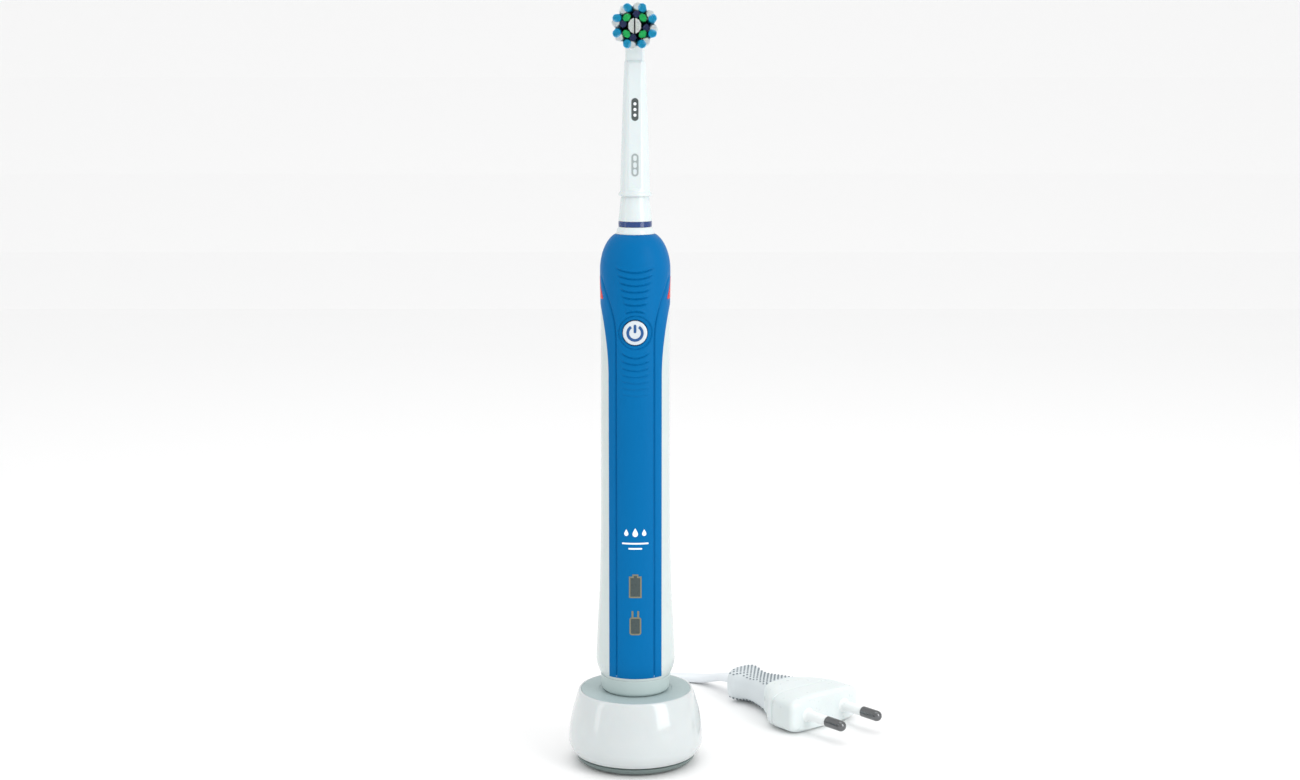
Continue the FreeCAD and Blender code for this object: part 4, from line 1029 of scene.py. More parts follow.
@dataclass
class Handle:
    """The handle's outside: cap, white housing, blue grip, button, lamps and collar.

    Attributes:
        cap_top: level where the cap meets the housing.
        neck: level where the blue grip ends under the collar.
        deck: level the handle stands on.
        button: level of the button's centre.
        panel_half: half the width of the blue grip below the button.
        proud: how far the grip stands off the housing.
        back_rise: how far up the grip's lower edge takes to reach the back.
        back_reach: how far round the back it goes in that rise.
        panel_foot: how far above the cap the grip starts.
        shoulder_rise: height of the round shoulder under the neck.
        shoulder_radius: the radius where it starts.
        shoulder: level where it starts.
        opening: level where the grip starts to spread sideways.
        full: level where it reaches the handle's sides.
        side: the (radius, level) outline below the shoulder.
    """

    cap_top: float = field(default_factory=lambda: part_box("handle_housing")[0].z / MM)
    neck: float = field(default_factory=lambda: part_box("front_grip")[1].z / MM)
    deck: float = field(default_factory=lambda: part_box("handle_bottom_cap")[0].z / MM)
    button: float = field(default_factory=lambda: middle_level("power_button"))
    panel_half: float = 9.3
    proud: float = 0.12
    back_rise: float = 7.0
    back_reach: float = 15.9
    panel_foot: float = 0.9
    shoulder_rise: float = 12.6
    shoulder_radius: float = 12.04
    shoulder: float = field(init=False)
    opening: float = field(init=False)
    full: float = field(init=False)
    side: list[tuple[float, float]] = field(init=False)

    def __post_init__(self) -> None:
        """Works out the levels that hang from the neck, and the side's outline."""
        self.shoulder = self.neck - self.shoulder_rise
        self.opening = self.neck - 48.0
        self.full = self.neck - 24.4
        self.side = smooth_run([
            (12.38, self.cap_top), (13.76, self.cap_top + 4.2), (13.9, self.cap_top + 7.9),
            (13.38, self.cap_top + 18.9), (12.63, self.cap_top + 33.4), (12.15, self.cap_top + 62.3),
            (11.95, self.shoulder - 17.4), (self.shoulder_radius, self.shoulder)], 24)

    def radius(self, level: float) -> float:
        """The handle's radius.

        Args:
            level: the height, in millimetres.

        Returns:
            The radius there, in millimetres.
        """
        if level >= self.shoulder:
            stretch, drop = 1.048, 7.66
            sine = min(1.0, (level - self.shoulder) / (self.shoulder_rise * stretch))
            return self.shoulder_radius - drop * (1 - math.sqrt(1 - sine * sine))
        for (r0, z0), (r1, z1) in zip(self.side, self.side[1:]):
            if z0 <= level <= z1:
                return r0 + (r1 - r0) * (level - z0) / (z1 - z0)
        return self.side[0][0]

    def panel_reach(self, level: float) -> float:
        """How far round from the front the blue grip goes.

        Args:
            level: the height, in millimetres.

        Returns:
            The angle of its edge, in radians.
        """
        radius = self.radius(level)
        if level < self.full:
            opened = max(0.0, (level - self.opening) / (self.full - self.opening)) ** 1.75
            half = self.panel_half + (radius - self.panel_half) * opened
            return math.asin(min(1.0, half / radius))
        back = (level - self.full) / self.back_rise * self.back_reach / radius
        return math.pi / 2 + math.asin(min(1.0, back))

    def on_surface(self, angle: float, level: float, lift: float) -> tuple[float, float, float]:
        """A point on the handle at an angle from the front, lifted off the surface."""
        radius = self.radius(level) + lift
        return radius * math.sin(angle), -radius * math.cos(angle), level

    def rail(self, level: float) -> float:
        """Half the distance between the two grooves at a level, opening like a bottle's neck."""
        return 6.6 + 5.4 * smooth_step(self.button - 5, self.button + 23, level) ** 1.5

    def relief(self, x: float, level: float) -> float:
        """The front's relief: ribs, grooves and the well of the button.

        Args:
            x: the distance to the right of the middle.
            level: the height.

        Returns:
            How far the surface stands out, in millimetres.
        """
        height = 0.0
        fade = 1 - smooth_step(self.button + 15, self.button + 22, level)
        fade *= smooth_step(0.4, 1.6, level - self.cap_top - self.panel_foot)
        groove = abs(abs(x) - self.rail(level))
        height -= 0.55 * math.exp(-(groove / 0.24) ** 2) * fade
        height -= 0.03 * (1 - smooth_step(-0.2, 0.6, self.rail(level) - abs(x))) * fade
        reach = math.hypot(x, level - self.button)
        height -= 0.50 * math.exp(-((reach - 5.7) / 0.26) ** 2)
        height -= 0.28 * (1 - smooth_step(4.9, 5.7, reach))
        height -= 1.3 * (1 - smooth_step(4.38, 4.56, reach))
        for i in range(6):
            height += self.rib(x, level, self.button + 9.9 + 2.24 * i, 0.035, 3.9 + 0.48 * i)
        height += self.rib(x, level, self.button + 7.9, -0.07, 3.4)
        for i in range(7):
            low_rib = self.rib(x, level, self.button - 8.2 - 2.2 * i, 0.075 / (1 + 0.4 * i), 4.6)
            height += low_rib * (0.9 - 0.09 * i)
        return height

    @staticmethod
    def rib(x: float, level: float, centre: float, bow: float, half: float) -> float:
        """One curved rib: a ridge with a steep lower side and faded ends.

        Args:
            x: the distance to the right of the middle.
            level: the height.
            centre: the rib's height in the middle.
            bow: how much it curves up to its ends.
            half: half its length.

        Returns:
            How far it stands out, in millimetres.
        """
        off = level - (centre + bow * x * x)
        if abs(off) > 1.2 or abs(x) > half + 1.2:
            return 0.0
        ridge = 0.8 * math.exp(-(off / 0.45) ** 2) - 1.3 * math.exp(-((off + 0.62) / 0.26) ** 2)
        return 0.34 * ridge * (1 - smooth_step(half - 0.9, half + 0.6, abs(x)))

    def build_grip(self) -> None:
        """Builds the blue grip with its ribs, grooves and rounded edge."""
        bottom = self.cap_top + self.panel_foot
        bands = [(bottom, bottom + 1.2, 6), (bottom + 1.2, self.button - 24, 66),
                 (self.button - 24, self.button + 25, 250), (self.button + 25, self.neck, 26)]
        total = sum(rows for _, _, rows in bands)

        def level_at(along: float) -> float:
            """The height at a share of the rows, which lie closest round the button."""
            left = along * total
            for low, high, rows in bands:
                if left <= rows + 1e-9:
                    return low + (high - low) * left / rows
                left -= rows
            return self.neck

        def shape(across: float, along: float) -> tuple[float, float, float]:
            """A point on the grip, for mapped_grid; the columns lie closest in the middle."""
            level = level_at(along)
            reach = self.panel_reach(level)
            angle = reach * (0.5 * across + 0.5 * across ** 3)
            x = self.radius(level) * math.sin(angle)
            closed = reach > math.pi - 1e-4
            edge = math.inf if closed else (reach - abs(angle)) * self.radius(level)
            edge = min(edge, level - bottom, (self.neck - level) * 2.5)
            front = self.relief(x, level) if abs(angle) < math.pi / 2 else 0.0
            return self.on_surface(angle, level, self.proud + front - rolled(edge, 0.34))

        mesh = mapped_grid(180, total, shape, wrap=True)
        rim = [e for e in mesh.edges if e.is_boundary]
        made = bmesh.ops.extrude_edge_only(mesh, edges=rim)
        tuck = 0.7
        for corner in (v for v in made["geom"] if isinstance(v, bmesh.types.BMVert)):
            flat = Vector((corner.co.x, corner.co.y, 0))
            corner.co -= flat.normalized() * tuck * MM
        face_out(mesh)
        settle(mesh, "grip", "handle", GRIP_BLUE, ["front_grip"], sharp=55)

    def build_housing(self) -> None:
        """Builds the white housing: all the way round at its foot, open under the blue grip."""
        top = self.full + 6.6
        lap, wall = 1.2, 0.9

        def shape(across: float, along: float) -> tuple[float, float, float]:
            """A point on the housing, for mapped_grid; drawn in a little where it meets the cap."""
            level = self.cap_top + (top - self.cap_top) * along
            dip = 0.16 * math.exp(-(level - self.cap_top) / 0.25)
            return self.on_surface(math.pi * across, level, -dip)

        mesh = mapped_grid(144, 150, shape, wrap=True)
        hidden = []
        for face in mesh.faces:
            x, y, level = face.calc_center_median() / MM
            inward = (self.panel_reach(level) - abs(math.atan2(x, -y))) * math.hypot(x, y)
            if min(inward, level - self.cap_top - self.panel_foot) > lap:
                hidden.append(face)
        bmesh.ops.delete(mesh, geom=hidden, context="FACES")
        face_out(mesh)
        bmesh.ops.solidify(mesh, geom=mesh.faces[:], thickness=wall * MM)
        settle(mesh, "housing", "handle", HOUSING_WHITE, ["handle_housing"], sharp=60)

    def build_cap(self) -> None:
        """Builds the bottom cap with the recess that takes the charger's peg."""
        bore = 4.6
        tube_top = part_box("handle_bottom_cap")[1].z / MM
        foot = [(0, tube_top - 1.1), (bore, tube_top - 1.1), (bore, self.deck + 0.7),
                (bore + 0.6, self.deck + 0.1), (9.6, self.deck + 0.1), (9.8, self.deck + 0.02),
                (11.05, self.deck + 0.02)]
        flank = smooth_run([
            (11.3, self.deck + 0.12), (11.85, self.deck + 0.75), (12.05, self.deck + 1.7),
            (12.25, self.cap_top - 1.4), (12.38, self.cap_top - 0.25)], 5)
        inside = [(12.3, self.cap_top - 0.06), (12.1, self.cap_top), (10.7, self.cap_top),
                  (10.7, self.cap_top + 2.9), (9.2, self.cap_top + 2.9), (9.2, self.deck + 2.2),
                  (5.6, self.deck + 2.2), (5.6, tube_top), (0, tube_top)]
        mesh = spun(foot + flank + inside, closed=False, steps=128)
        settle(mesh, "bottom_cap", "handle", CAP_WHITE, ["handle_bottom_cap"])

    def build_collar(self) -> None:
        """Builds the white collar at the handle's neck and the spigot above it."""
        top = self.neck + 2.4
        mesh = spun([
            (5.0, self.neck - 8), (5.0, self.neck - 0.25), (6.45, self.neck - 0.25),
            (6.72, self.neck + 0.05), (6.66, self.neck + 0.3), (5.95, top - 0.25), (5.7, top - 0.02),
            (3.9, top), (3.9, top + 7.7), (3.5, top + 8.2), (1.9, top + 8.2), (1.9, top + 0.7),
            (2.77, top + 0.7), (2.77, self.neck - 8)], closed=True, steps=112)
        settle(mesh, "collar", "handle", HEAD_WHITE, ["neck_collar"])

    def build_button(self) -> None:
        """Builds the pearl button and its printed power symbol."""
        low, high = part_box("power_button")
        face = -low.y / MM
        radius = (high.x - low.x) / 2 / MM
        profile = [(0, face - 0.04), (2.6, face - 0.02), (radius - 0.75, face),
                   (radius - 0.3, face - 0.07), (radius - 0.08, face - 0.25), (radius, face - 0.6),
                   (radius, -high.y / MM), (0, -high.y / MM)]
        mesh = spun(profile, closed=False, steps=72)
        mesh.transform(turn_to_front(self.button))
        settle(mesh, "button", "power_button", BUTTON_SILVER, ["power_button"])

        outline = []
        gap, steps, ink = math.radians(33), 40, 0.1
        for size, order in ((2.95, 1), (2.0, -1)):
            turns = [math.pi / 2 + gap + (FULL_TURN - 2 * gap) * i / steps for i in range(steps + 1)]
            outline += [(size * math.cos(turn), size * math.sin(turn)) for turn in turns[::order]]
        bar = round_box(0.46, 1.45, 0.44, (0, 1.45))
        symbol = join([plate(outline, ink), plate(bar, ink)])
        bmesh.ops.translate(symbol, verts=symbol.verts, vec=(0, -(face + 0.06) * MM, self.button * MM))
        settle(symbol, "button_symbol", "power_button", SYMBOL_BLUE, ["power_symbol"])

    def laid_on(self, mesh: bmesh.types.BMesh, level: float, lift: float) -> bmesh.types.BMesh:
        """Wraps a plate on to the handle's front.

        Args:
            mesh: the flat plate.
            level: the height of its middle.
            lift: how far its face is off the grip.

        Returns:
            The same mesh, curved.
        """
        for step in range(-12, 13):
            bmesh.ops.bisect_plane(mesh, geom=mesh.verts[:] + mesh.edges[:] + mesh.faces[:],
                                   dist=1e-7, plane_co=(0.45 * step * MM, 0, 0),
                                   plane_no=(1, 0, 0))
        for corner in mesh.verts:
            x, depth, z = corner.co / MM
            height = level + z
            radius = self.radius(height) + self.proud + lift - depth
            corner.co = Vector((x, -math.sqrt(max(0.0, radius * radius - x * x)), height)) * MM
        bmesh.ops.recalc_face_normals(mesh, faces=mesh.faces)
        return mesh

    def build_icons(self) -> None:
        """Builds the battery and plug lamps, each a dark window in a pale edge."""
        battery = self.battery_outline(2.2, 3.8)
        thick, window_lift, edge_lift = 0.5, 0.05, 0.09
        lamps = (
            ("battery_lamp", "charge_lens", battery, self.shrunk(battery, 0.5), ()),
            ("plug_lamp", "low_battery_lens", round_box(2.05, 3.15, 0.9, (0, -0.45)),
             round_box(1.55, 2.65, 0.4, (0, -0.45)), (-1.0, 1.0)),
        )
        for name, node, outline, opening, prongs in lamps:
            level = middle_level(node)
            window = self.laid_on(plate(opening, thick), level, window_lift)
            settle(window, name, "handle", LENS_SMOKE, [node])
            edge = [self.laid_on(plate(outline, thick, [opening]), level, edge_lift)]
            for across in prongs:
                prong = plate(round_box(0.34, 1.15, 0.2, (across, 3.75)), thick)
                edge.append(self.laid_on(prong, level, edge_lift))
            settle(join(edge), f"{name}_edge", "handle", ICON_EDGE)

    def build_drops(self) -> None:
        """Builds the printed mark above the lamps: three drops over two bars."""
        level = middle_level("charge_lens")
        outlines = [(self.drop_outline(tall, middle), 19.1)
                    for tall, middle in ((1.35, -3.1), (1.75, 0.0), (1.35, 3.1))]
        outlines += [(round_box(4.6, 0.28, 0.27), 15.4), (round_box(2.4, 0.28, 0.27), 13.6)]
        marks = [self.laid_on(plate(outline, 0.3), level + above, 0.05) for outline, above in outlines]
        settle(join(marks), "printed_drops", "handle", MARK_WHITE)

    @staticmethod
    def battery_outline(half: float, high: float) -> list[tuple[float, float]]:
        """A standing battery with its small pole on top.

        Args:
            half: half its width.
            high: half its height without the pole.

        Returns:
            The outline.
        """
        pole = 1.05
        return [(-half, -high), (half, -high), (half, high), (pole, high), (pole, high + 0.75),
                (-pole, high + 0.75), (-pole, high), (-half, high)]

    @staticmethod
    def shrunk(outline: Sequence[tuple[float, float]], amount: float) -> list[tuple[float, float]]:
        """Draws an outline in at every corner.

        Args:
            outline: the points, anticlockwise.
            amount: how far.

        Returns:
            The smaller outline.
        """
        count = len(outline)
        inner = []
        for i, (x, z) in enumerate(outline):
            before, after = Vector(outline[i - 1]), Vector(outline[(i + 1) % count])
            here = Vector((x, z))
            into, out = (here - before).normalized(), (after - here).normalized()
            normal = Vector((-into.y - out.y, into.x + out.x))
            length = max(0.4, normal.length_squared / 2)
            inner.append(tuple(here + normal / length * amount))
        return inner

    @staticmethod
    def drop_outline(tall: float, middle: float, steps: int = 28) -> list[tuple[float, float]]:
        """A water drop with its point up.

        Args:
            tall: half its height.
            middle: how far to the right its middle is.
            steps: points on the outline.

        Returns:
            The outline.
        """
        wide = tall * 0.62
        points = []
        for i in range(steps):
            turn = FULL_TURN * i / steps
            pull = (1 + math.sin(turn)) / 2
            points.append((middle + wide * math.cos(turn) * (1 - pull ** 2.2 * 0.85),
                           tall * math.sin(turn) * (1.0 if math.sin(turn) > 0 else 0.75)))
        return points

    def build_lamp_band(self) -> None:
        """Builds the red pressure lamp that wraps round the back and shows at both sides."""
        low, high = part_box("pressure_lens")
        bottom, top = low.z / MM - 0.2, high.z / MM - 1.0

        def shape(across: float, along: float) -> tuple[float, float, float]:
            """A point on the lamp, its edges rolled in, for mapped_grid."""
            level = bottom + (top - bottom) * along
            reach = math.radians(122 - 32 * along ** 0.8 - 12 * math.exp(-along / 0.06))
            angle = math.pi + across * reach
            edge = min((1 - abs(2 * along - 1)) * 4.0, (1 - abs(across)) * 25)
            return self.on_surface(angle, level, self.proud + 0.07 - rolled(edge, 0.3))

        mesh = mapped_grid(150, 24, shape)
        face_out(mesh)
        bmesh.ops.solidify(mesh, geom=mesh.faces[:], thickness=0.5 * MM)
        settle(mesh, "pressure_lamp", "handle", LENS_RED, ["pressure_lens"], sharp=60)

    def build(self) -> None:
        """Builds every piece of the handle's outside."""
        self.build_housing()
        self.build_grip()
        self.build_cap()
        self.build_collar()
        self.build_button()
        self.build_icons()
        self.build_drops()
        self.build_lamp_band()


# ------------------------------------------------------------------ the brush head


class Tone(Enum):
    """The bristles' colours, each with its CAD node, slot and linear colour."""

    BLUE = ("blue_tufts", "bristle_blue", from_screen(0, 168, 214))
    WHITE = ("white_tufts", "bristle_white", from_screen(240, 244, 244))
    GREEN = ("green_tufts", "bristle_green", from_screen(40, 214, 112))
    NAVY = ("navy_tufts", "bristle_navy", from_screen(50, 62, 110))
    CENTRE = ("centre_tufts", "bristle_white", from_screen(222, 226, 222))


@dataclass
class BrushHead:
    """The refill: tube, colour ring, disc and tufts.

    Attributes:
        base: level of the colour ring's lower edge, and band_top its upper one.
        centre: level of the disc's middle.
        disc_front: where the disc's face is, along Y.
        tip: where the longest tufts end, along Y.
        disc: the disc's radius.
        sunk: how far behind the disc's face the tufts start.
        facet_half: half the width of the neck's flat front.
        neck_foot: the neck's radius 20 above the base, and neck_taper its loss per millimetre.
    """

    base: float = field(default_factory=lambda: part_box("colour_ring")[0].z / MM)
    band_top: float = field(default_factory=lambda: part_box("colour_ring")[1].z / MM)
    centre: float = field(default_factory=lambda: middle_level("bristle_disc"))
    disc_front: float = field(default_factory=lambda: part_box("bristle_disc")[0].y / MM)
    tip: float = field(default_factory=lambda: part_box("blue_tufts")[0].y / MM)
    disc: float = 6.5
    sunk: float = 0.3
    facet_half: float = 2.05
    neck_foot: float = 4.94
    neck_taper: float = 0.0325

    def build_tube(self) -> None:
        """Builds the tube: a cone, a flange and a slim neck with a flat front."""
        flange = self.base + 11.1
        slim = self.base + 55.9
        cup_edge = self.centre - 6.2
        outside = [
            (5.55, self.band_top), (5.74, self.band_top + 0.12), (5.72, self.band_top + 0.6),
            (5.35, self.band_top + 4.4), (4.97, flange - 1.3), (4.7, flange - 0.85),
            (4.7, flange - 0.62), (5.6, flange - 0.5), (5.74, flange - 0.38), (5.8, flange - 0.1),
            (5.74, flange + 0.25)]
        outside += smooth_run([
            (5.4, flange + 0.7), (5.16, flange + 2.0), (4.96, flange + 8.9), (4.70, flange + 17.1),
            (4.17, slim - 11.5), (3.68, slim - 1.2), (3.55, slim)], 14)
        outside += smooth_run([
            (3.42, slim + 0.25), (3.34, slim + 0.8), (3.32, slim + 3.4), (3.5, cup_edge)], 5)
        inside = [
            (2.0, cup_edge), (1.6, self.centre - 12), (1.6, self.base + 29), (2.9, self.base + 28.6),
            (2.9, self.base + 8.8), (4.2, self.base + 8.6), (4.2, self.band_top)]
        mesh = spun(outside + inside, closed=True, steps=144)

        start = flange + 2.1
        for corner in mesh.verts:
            x, y, level = corner.co / MM
            radius = math.hypot(x, y)
            if level < start - 0.6 or radius < 2.7 or y > 0:
                continue
            half = self.facet_half
            step = 0.45 * smooth_step(slim - 0.5, slim + 0.6, level)
            fade = smooth_step(start - 0.5, start + 0.4, level)
            flat = -math.sqrt(max(0.01, radius * radius - half * half)) + step
            corner.co.y = max(y, flat * fade + y * (1 - fade)) * MM
        settle(mesh, "head_neck", "brush_head", HEAD_WHITE, ["head_tube"], sharp=32)

    def build_cup(self) -> None:
        """Builds the cup behind the disc."""
        wide, deep = 6.7, 4.2
        outside = smooth_run([
            (wide, 0.4), (wide - 0.35, -1.5), (wide - 1.6, -3.0), (3.4, -3.9), (0, -deep)], 6)
        cup = spun([(0, -2.4), (5.6, -2.4), (5.6, 3.3), (6.2, 3.3), (wide, 2.9), (wide, 0.5)] + outside,
                   closed=False, steps=96)
        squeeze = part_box("head_tube")[1].y / MM / deep
        for corner in cup.verts:
            if corner.co.z < 0:
                corner.co.z *= squeeze
        cup.transform(turn_to_front(self.centre))
        settle(cup, "head_cup", "brush_head", HEAD_WHITE, sharp=38)

    def build_band(self) -> None:
        """Builds the colour ring at the refill's foot."""
        band = spun([
            (4.85, self.base + 0.02), (5.6, self.base + 0.02), (5.79, self.base + 0.2),
            (5.79, self.band_top - 0.15), (5.68, self.band_top), (4.85, self.band_top)],
            closed=True, steps=128)
        settle(band, "colour_band", "brush_head", BAND_BLUE, ["colour_ring"])

    def build_marks(self) -> None:
        """Builds the two small printed marks on the neck's flat front."""
        outline, thick = round_box(1.2, 3.85, 1.19), 0.3
        slope = Matrix.Rotation(math.atan(-self.neck_taper), 4, "X")

        def printed(mesh: bmesh.types.BMesh, level: float, lift: float) -> bmesh.types.BMesh:
            """Lays a plate on the flat front at a level, its face lifted off it; hands it back."""
            radius = self.neck_foot - self.neck_taper * (level - self.base - 20)
            depth = math.sqrt(radius * radius - self.facet_half ** 2)
            mesh.transform(Matrix.Translation((0, -(depth + lift) * MM, level * MM)) @ slope)
            return mesh

        dots = [circle(0.52, z) for z in (-1.9, 0.0, 1.9)]
        slots = [round_box(0.62, 0.95, 0.6, (0, z)) for z in (-2.3, 0.0, 2.3)]
        upper, lower = self.base + 39.9, self.base + 21.2
        settle(printed(plate(outline, thick, dots), upper, 0.09),
               "mark_upper", "brush_head", MARK_DARK)
        settle(printed(join([plate(dot, thick) for dot in dots]), upper, 0.08),
               "mark_upper_dots", "brush_head", MARK_WHITE)
        settle(printed(plate(outline, thick, slots), lower, 0.09),
               "mark_lower", "brush_head", MARK_GREY)

    def build_disc(self) -> None:
        """Builds the oscillating disc and the dark navy sheet in its face, which is painted shade deep
        between the tufts.
        """
        face, rear = -self.disc_front, -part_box("bristle_disc")[1].y / MM
        mesh = spun([
            (0, face), (self.disc - 0.45, face), (self.disc - 0.1, face - 0.15),
            (self.disc, face - 0.45), (self.disc, 3.6), (5.2, 3.6), (5.2, rear), (0.85, rear),
            (0.85, 3.95), (0, 3.95)], closed=False, steps=96)
        mesh.transform(turn_to_front(self.centre))
        settle(mesh, "tuft_disc", "bristle_disc", HEAD_WHITE, ["bristle_disc"])

        # Painted shade: a dark sheet in the disc's face stands for the shade deep between the tufts.
        shade_sheet = spun([
            (0, face + 0.12), (4.45, face + 0.12), (4.6, face + 0.02), (4.6, face - 0.4),
            (0, face - 0.4)], closed=False, steps=72)
        shade_sheet.transform(turn_to_front(self.centre))
        settle(shade_sheet, "disc_shade_sheet", "bristle_disc", DISC_SHADE_NAVY)

    @staticmethod
    def tuft(mesh: bmesh.types.BMesh, spots: Iterable[tuple[float, float]], root: Vector,
             tip: Vector, dice: random.Random, dome: float) -> None:
        """Adds one tuft of filaments.

        Args:
            mesh: what the filaments are added to.
            spots: where each stands in the tuft's own section, in millimetres.
            root: the tuft's foot on the disc.
            tip: its end.
            dice: the seeded chance behind the small differences.
            dome: how much the tuft's edge is shorter than its middle.
        """
        way = (tip - root).normalized()
        side = way.cross(Vector((0, 0, 1)))
        side = side.normalized() if side.length > 1e-6 else Vector((1, 0, 0))
        up = side.cross(way)
        spread, uneven, nose = 1.16, 0.12, 0.06
        thick_foot, thick_end, thick_nose = 0.1, 0.095, 0.04
        for right, rise in spots:
            foot = root + side * right + up * rise
            end = tip + side * right * spread + up * rise * spread
            end -= way * (dome * (right * right + rise * rise) + dice.uniform(0, uneven))
            turn = (end - foot).to_track_quat("Z", "Y").to_matrix().to_4x4()
            for middle, length, radii in (
                    ((foot + end) / 2, (end - foot).length, (thick_foot, thick_end)),
                    (end + way * (nose / 2), nose, (thick_end, thick_nose))):
                bmesh.ops.create_cone(
                    mesh, cap_ends=True, segments=6, radius1=radii[0] * MM, radius2=radii[1] * MM,
                    depth=length * MM, matrix=Matrix.Translation(middle * MM) @ turn)

    @staticmethod
    def packed(wide: float, tall: float, pitch: float = 0.205) -> list[tuple[float, float]]:
        """Spots on a close-packed lattice inside an ellipse.

        Args:
            wide: half the ellipse's width.
            tall: half its height.
            pitch: the distance between neighbours.

        Returns:
            The spots.
        """
        spots = []
        row_pitch = pitch * 0.87
        rows = int(tall / row_pitch) + 1
        columns = int(wide / pitch) + 1
        for row in range(-rows, rows + 1):
            for column in range(-columns, columns + 1):
                x = (column + 0.5 * (row % 2)) * pitch
                z = row * row_pitch
                if (x / wide) ** 2 + (z / tall) ** 2 <= 1:
                    spots.append((x, z))
        return spots

    def ring(self, tone: Tone, count: int, start: float, root: float, tip: float, lean: float,
             wide: float, tall: float, depth: float) -> None:
        """Builds one ring of tufts, leaning round the disc.

        Args:
            tone: the colour.
            count: how many tufts.
            start: the first one's angle, in degrees.
            root: radius of the ring of feet.
            tip: radius of the ring of tips.
            lean: how far round the tips are from the feet, in degrees.
            wide: half a tuft's width round the ring.
            tall: half its width across the ring.
            depth: how much shorter than the longest these tufts are.
        """
        dice = random.Random(tone.value[0])
        mesh = bmesh.new()

        def point(radius: float, turn: float, y: float) -> Vector:
            """The point at a radius and an angle round the disc's middle."""
            angle = math.radians(turn)
            return Vector((radius * math.cos(angle), y, self.centre + radius * math.sin(angle)))

        for i in range(count):
            foot = point(root, start - lean / 2 + 360 / count * i, self.disc_front + self.sunk)
            end = point(tip, start + lean / 2 + 360 / count * i, self.tip + 0.25 + depth)
            face = math.radians(start + 360 / count * i)
            spots = []
            for across, out in self.packed(wide, tall):
                along_x = out * math.cos(face) - across * math.sin(face)
                along_z = out * math.sin(face) + across * math.cos(face)
                spots.append((-along_x, along_z))
            self.tuft(mesh, spots, foot, end, dice, 0.16)
        # The last number is how much colour the roots keep under the painted shade; white tufts keep
        # more.
        self.settle_tufts(mesh, tone, 0.35, 0.6 if tone is Tone.WHITE else 0.35)

    def settle_tufts(self, mesh: bmesh.types.BMesh, tone: Tone, roughness: float,
                     shade: float) -> None:
        """Turns the tufts of one colour into a piece.

        Args:
            mesh: the filaments.
            tone: the colour.
            roughness: the nylon's roughness.
            shade: how much of the colour is left at the root, where the rest is painted shade.
        """
        node, slot, colour = tone.value
        name = tone.name.lower()
        finish = Nylon(f"nylon_{name}", slot, colour, roughness, root_y=self.disc_front * MM,
                       tip_y=self.tip * MM, shade=shade)
        settle(mesh, f"tufts_{name}", "bristle_disc", finish, [node], sharp=60)

    def build_tufts(self) -> None:
        """Builds every ring of tufts and the split pair in the middle."""
        self.ring(Tone.BLUE, 8, 17.5, 5.4, 6.6, 11.0, 1.2, 1.22, 0.0)
        self.ring(Tone.WHITE, 8, 40.0, 5.4, 6.7, -9.0, 1.1, 1.15, 0.3)
        self.ring(Tone.GREEN, 4, 40.0, 3.35, 3.85, 10.0, 1.2, 0.95, 0.7)
        self.ring(Tone.NAVY, 4, -5.0, 3.35, 3.95, -10.0, 1.1, 0.95, 1.2)

        mesh = bmesh.new()
        split, shrink = 0.28, 0.86
        spots = [(x * shrink, z * shrink) for x, z in self.packed(2.15, 2.55) if abs(x) > split]
        foot = Vector((0, self.disc_front + self.sunk, self.centre))
        end = Vector((0, self.tip + 0.7, self.centre))
        self.tuft(mesh, spots, foot, end, random.Random(Tone.CENTRE.value[0]), 0.03)
        # The centre pair's roots keep a quarter of their colour under the painted shade.
        self.settle_tufts(mesh, Tone.CENTRE, 0.4, 0.25)

    def build(self) -> None:
        """Builds the whole refill."""
        self.build_tube()
        self.build_cup()
        self.build_band()
        self.build_marks()
        self.build_disc()
        self.build_tufts()


# ------------------------------------------------------------------ studio


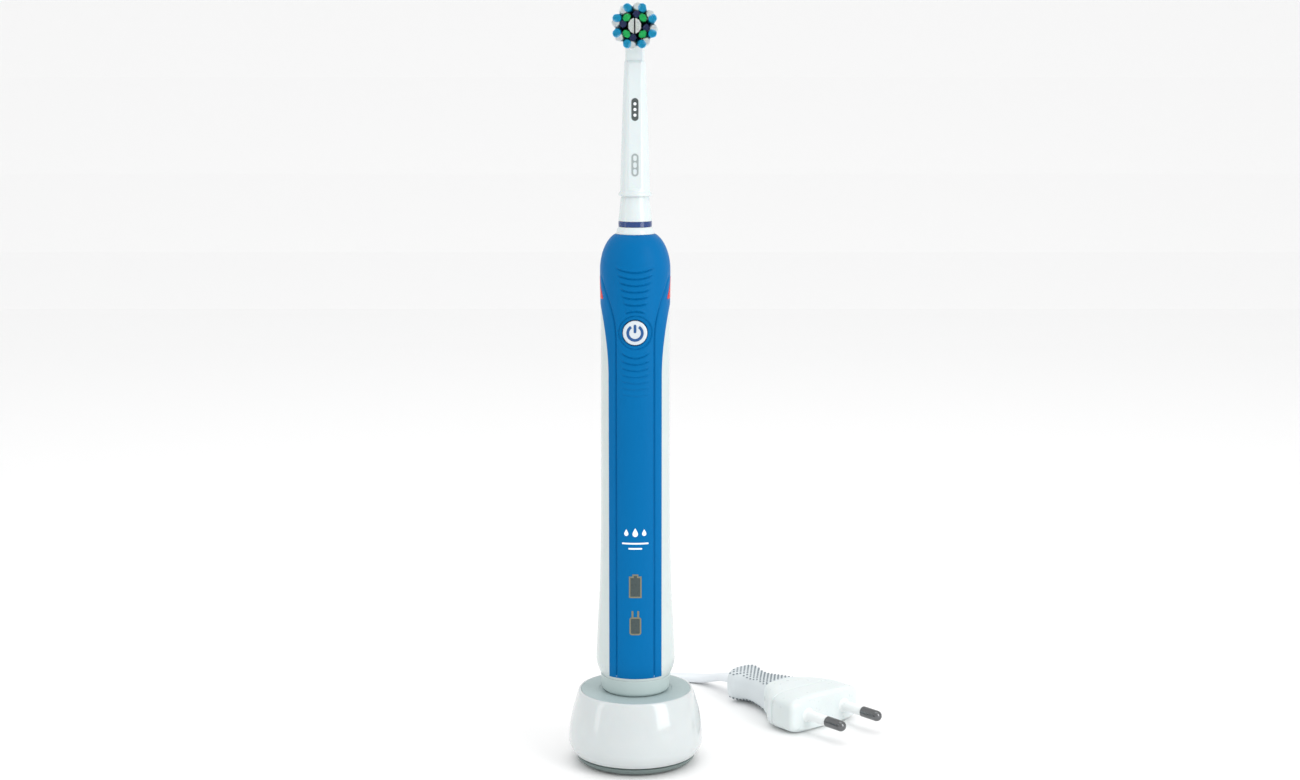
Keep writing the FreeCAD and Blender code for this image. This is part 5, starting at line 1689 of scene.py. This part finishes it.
@dataclass
class Studio:
    """Floor, lights and camera.

    Attributes:
        lens: the camera's focal length.
        camera_at: where it stands.
        look_down: how many degrees it looks down.
        sweep_start: how far behind the object the floor starts to curve up.
    """

    lens: float = 57.3
    camera_at: tuple[float, float, float] = (0.0051, -0.711, 0.246)
    look_down: float = 9.0
    sweep_start: float = 1.2

    def build_camera(self) -> None:
        """Stands the camera in front, a little above, looking slightly down."""
        data = bpy.data.cameras.new("camera")
        data.lens = self.lens
        data.sensor_width = 36.0
        data.clip_start = 0.01
        camera = bpy.data.objects.new("camera", data)
        camera.location = self.camera_at
        camera.rotation_euler = (math.radians(90 - self.look_down), 0, 0)
        bpy.context.scene.collection.objects.link(camera)
        bpy.context.scene.camera = camera

    def build_floor(self) -> None:
        """Lays a pale floor that curves up a long way behind."""
        mesh = bmesh.new()
        bmesh.ops.create_grid(mesh, x_segments=2, y_segments=64, size=6.0)
        for corner in mesh.verts:
            behind = max(0.0, corner.co.y - self.sweep_start)
            corner.co.z = behind * behind * 0.5
        data = bpy.data.meshes.new("floor")
        mesh.to_mesh(data)
        mesh.free()
        floor = bpy.data.objects.new("floor", data)
        bpy.context.scene.collection.objects.link(floor)
        graph = Graph("floor_paper")
        data.materials.append(graph.surface(Base_Color=rgba((0.92, 0.92, 0.92)), Roughness=0.6))

    @staticmethod
    def softbox(name: str, at: tuple[float, float, float], size: tuple[float, float], power: float,
                aim: tuple[float, float, float] = (0, 0, 0.13)) -> None:
        """Adds one rectangular soft light.

        Args:
            name: the light's name.
            at: where it hangs.
            size: its width and height.
            power: its power in watts.
            aim: the point it faces.
        """
        data = bpy.data.lights.new(name, "AREA")
        data.shape = "RECTANGLE"
        data.size, data.size_y = size
        data.energy = power
        light = bpy.data.objects.new(name, data)
        light.location = at
        light.rotation_euler = (Vector(aim) - Vector(at)).to_track_quat("-Z", "Y").to_euler()
        bpy.context.scene.collection.objects.link(light)

    def build_lights(self) -> None:
        """Hangs the soft lights and the pale surroundings."""
        self.softbox("key_right", (0.55, -0.45, 0.40), (0.35, 0.7), 2.4)
        self.softbox("fill_left", (-0.6, -0.20, 0.35), (0.12, 0.8), 0.4)
        self.softbox("top", (0.0, 0.1, 1.0), (0.8, 0.8), 1.6)
        world = bpy.data.worlds.new("surroundings")
        world.use_nodes = True
        background = world.node_tree.nodes["Background"]
        background.inputs["Color"].default_value = (1, 1, 1, 1)
        background.inputs["Strength"].default_value = 1.0
        bpy.context.scene.world = world
        bpy.context.scene.view_settings.view_transform = "Standard"

    def build(self) -> None:
        """Sets the whole studio up."""
        self.build_camera()
        self.build_floor()
        self.build_lights()


def dress_inner_nodes(frame: dict[str, Any]) -> None:
    """Gives each CAD node that still shows the finish of its slot.
    """
    slots = {sub["node"]: sub["material_slot"] for sub in frame["record"]["subparts"]}
    for name, piece in frame["nodes"].items():
        finish = CARRIED_OVER.get(slots[name])
        if piece.hide_render or finish is None:
            continue
        material = finish.build()
        for slot in piece.material_slots:
            slot.material = material
        LOG.info("node %s keeps its shape, in %s", name, finish.name)


def main() -> None:
    """Builds every part of the scene in order."""
    logging.basicConfig(level=logging.INFO, format="%(message)s")
    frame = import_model()
    Studio().build()
    Charger().build()
    Lead().build()
    Handle().build()
    BrushHead().build()
    dress_inner_nodes(frame)


if __name__ == "__main__":
    main()
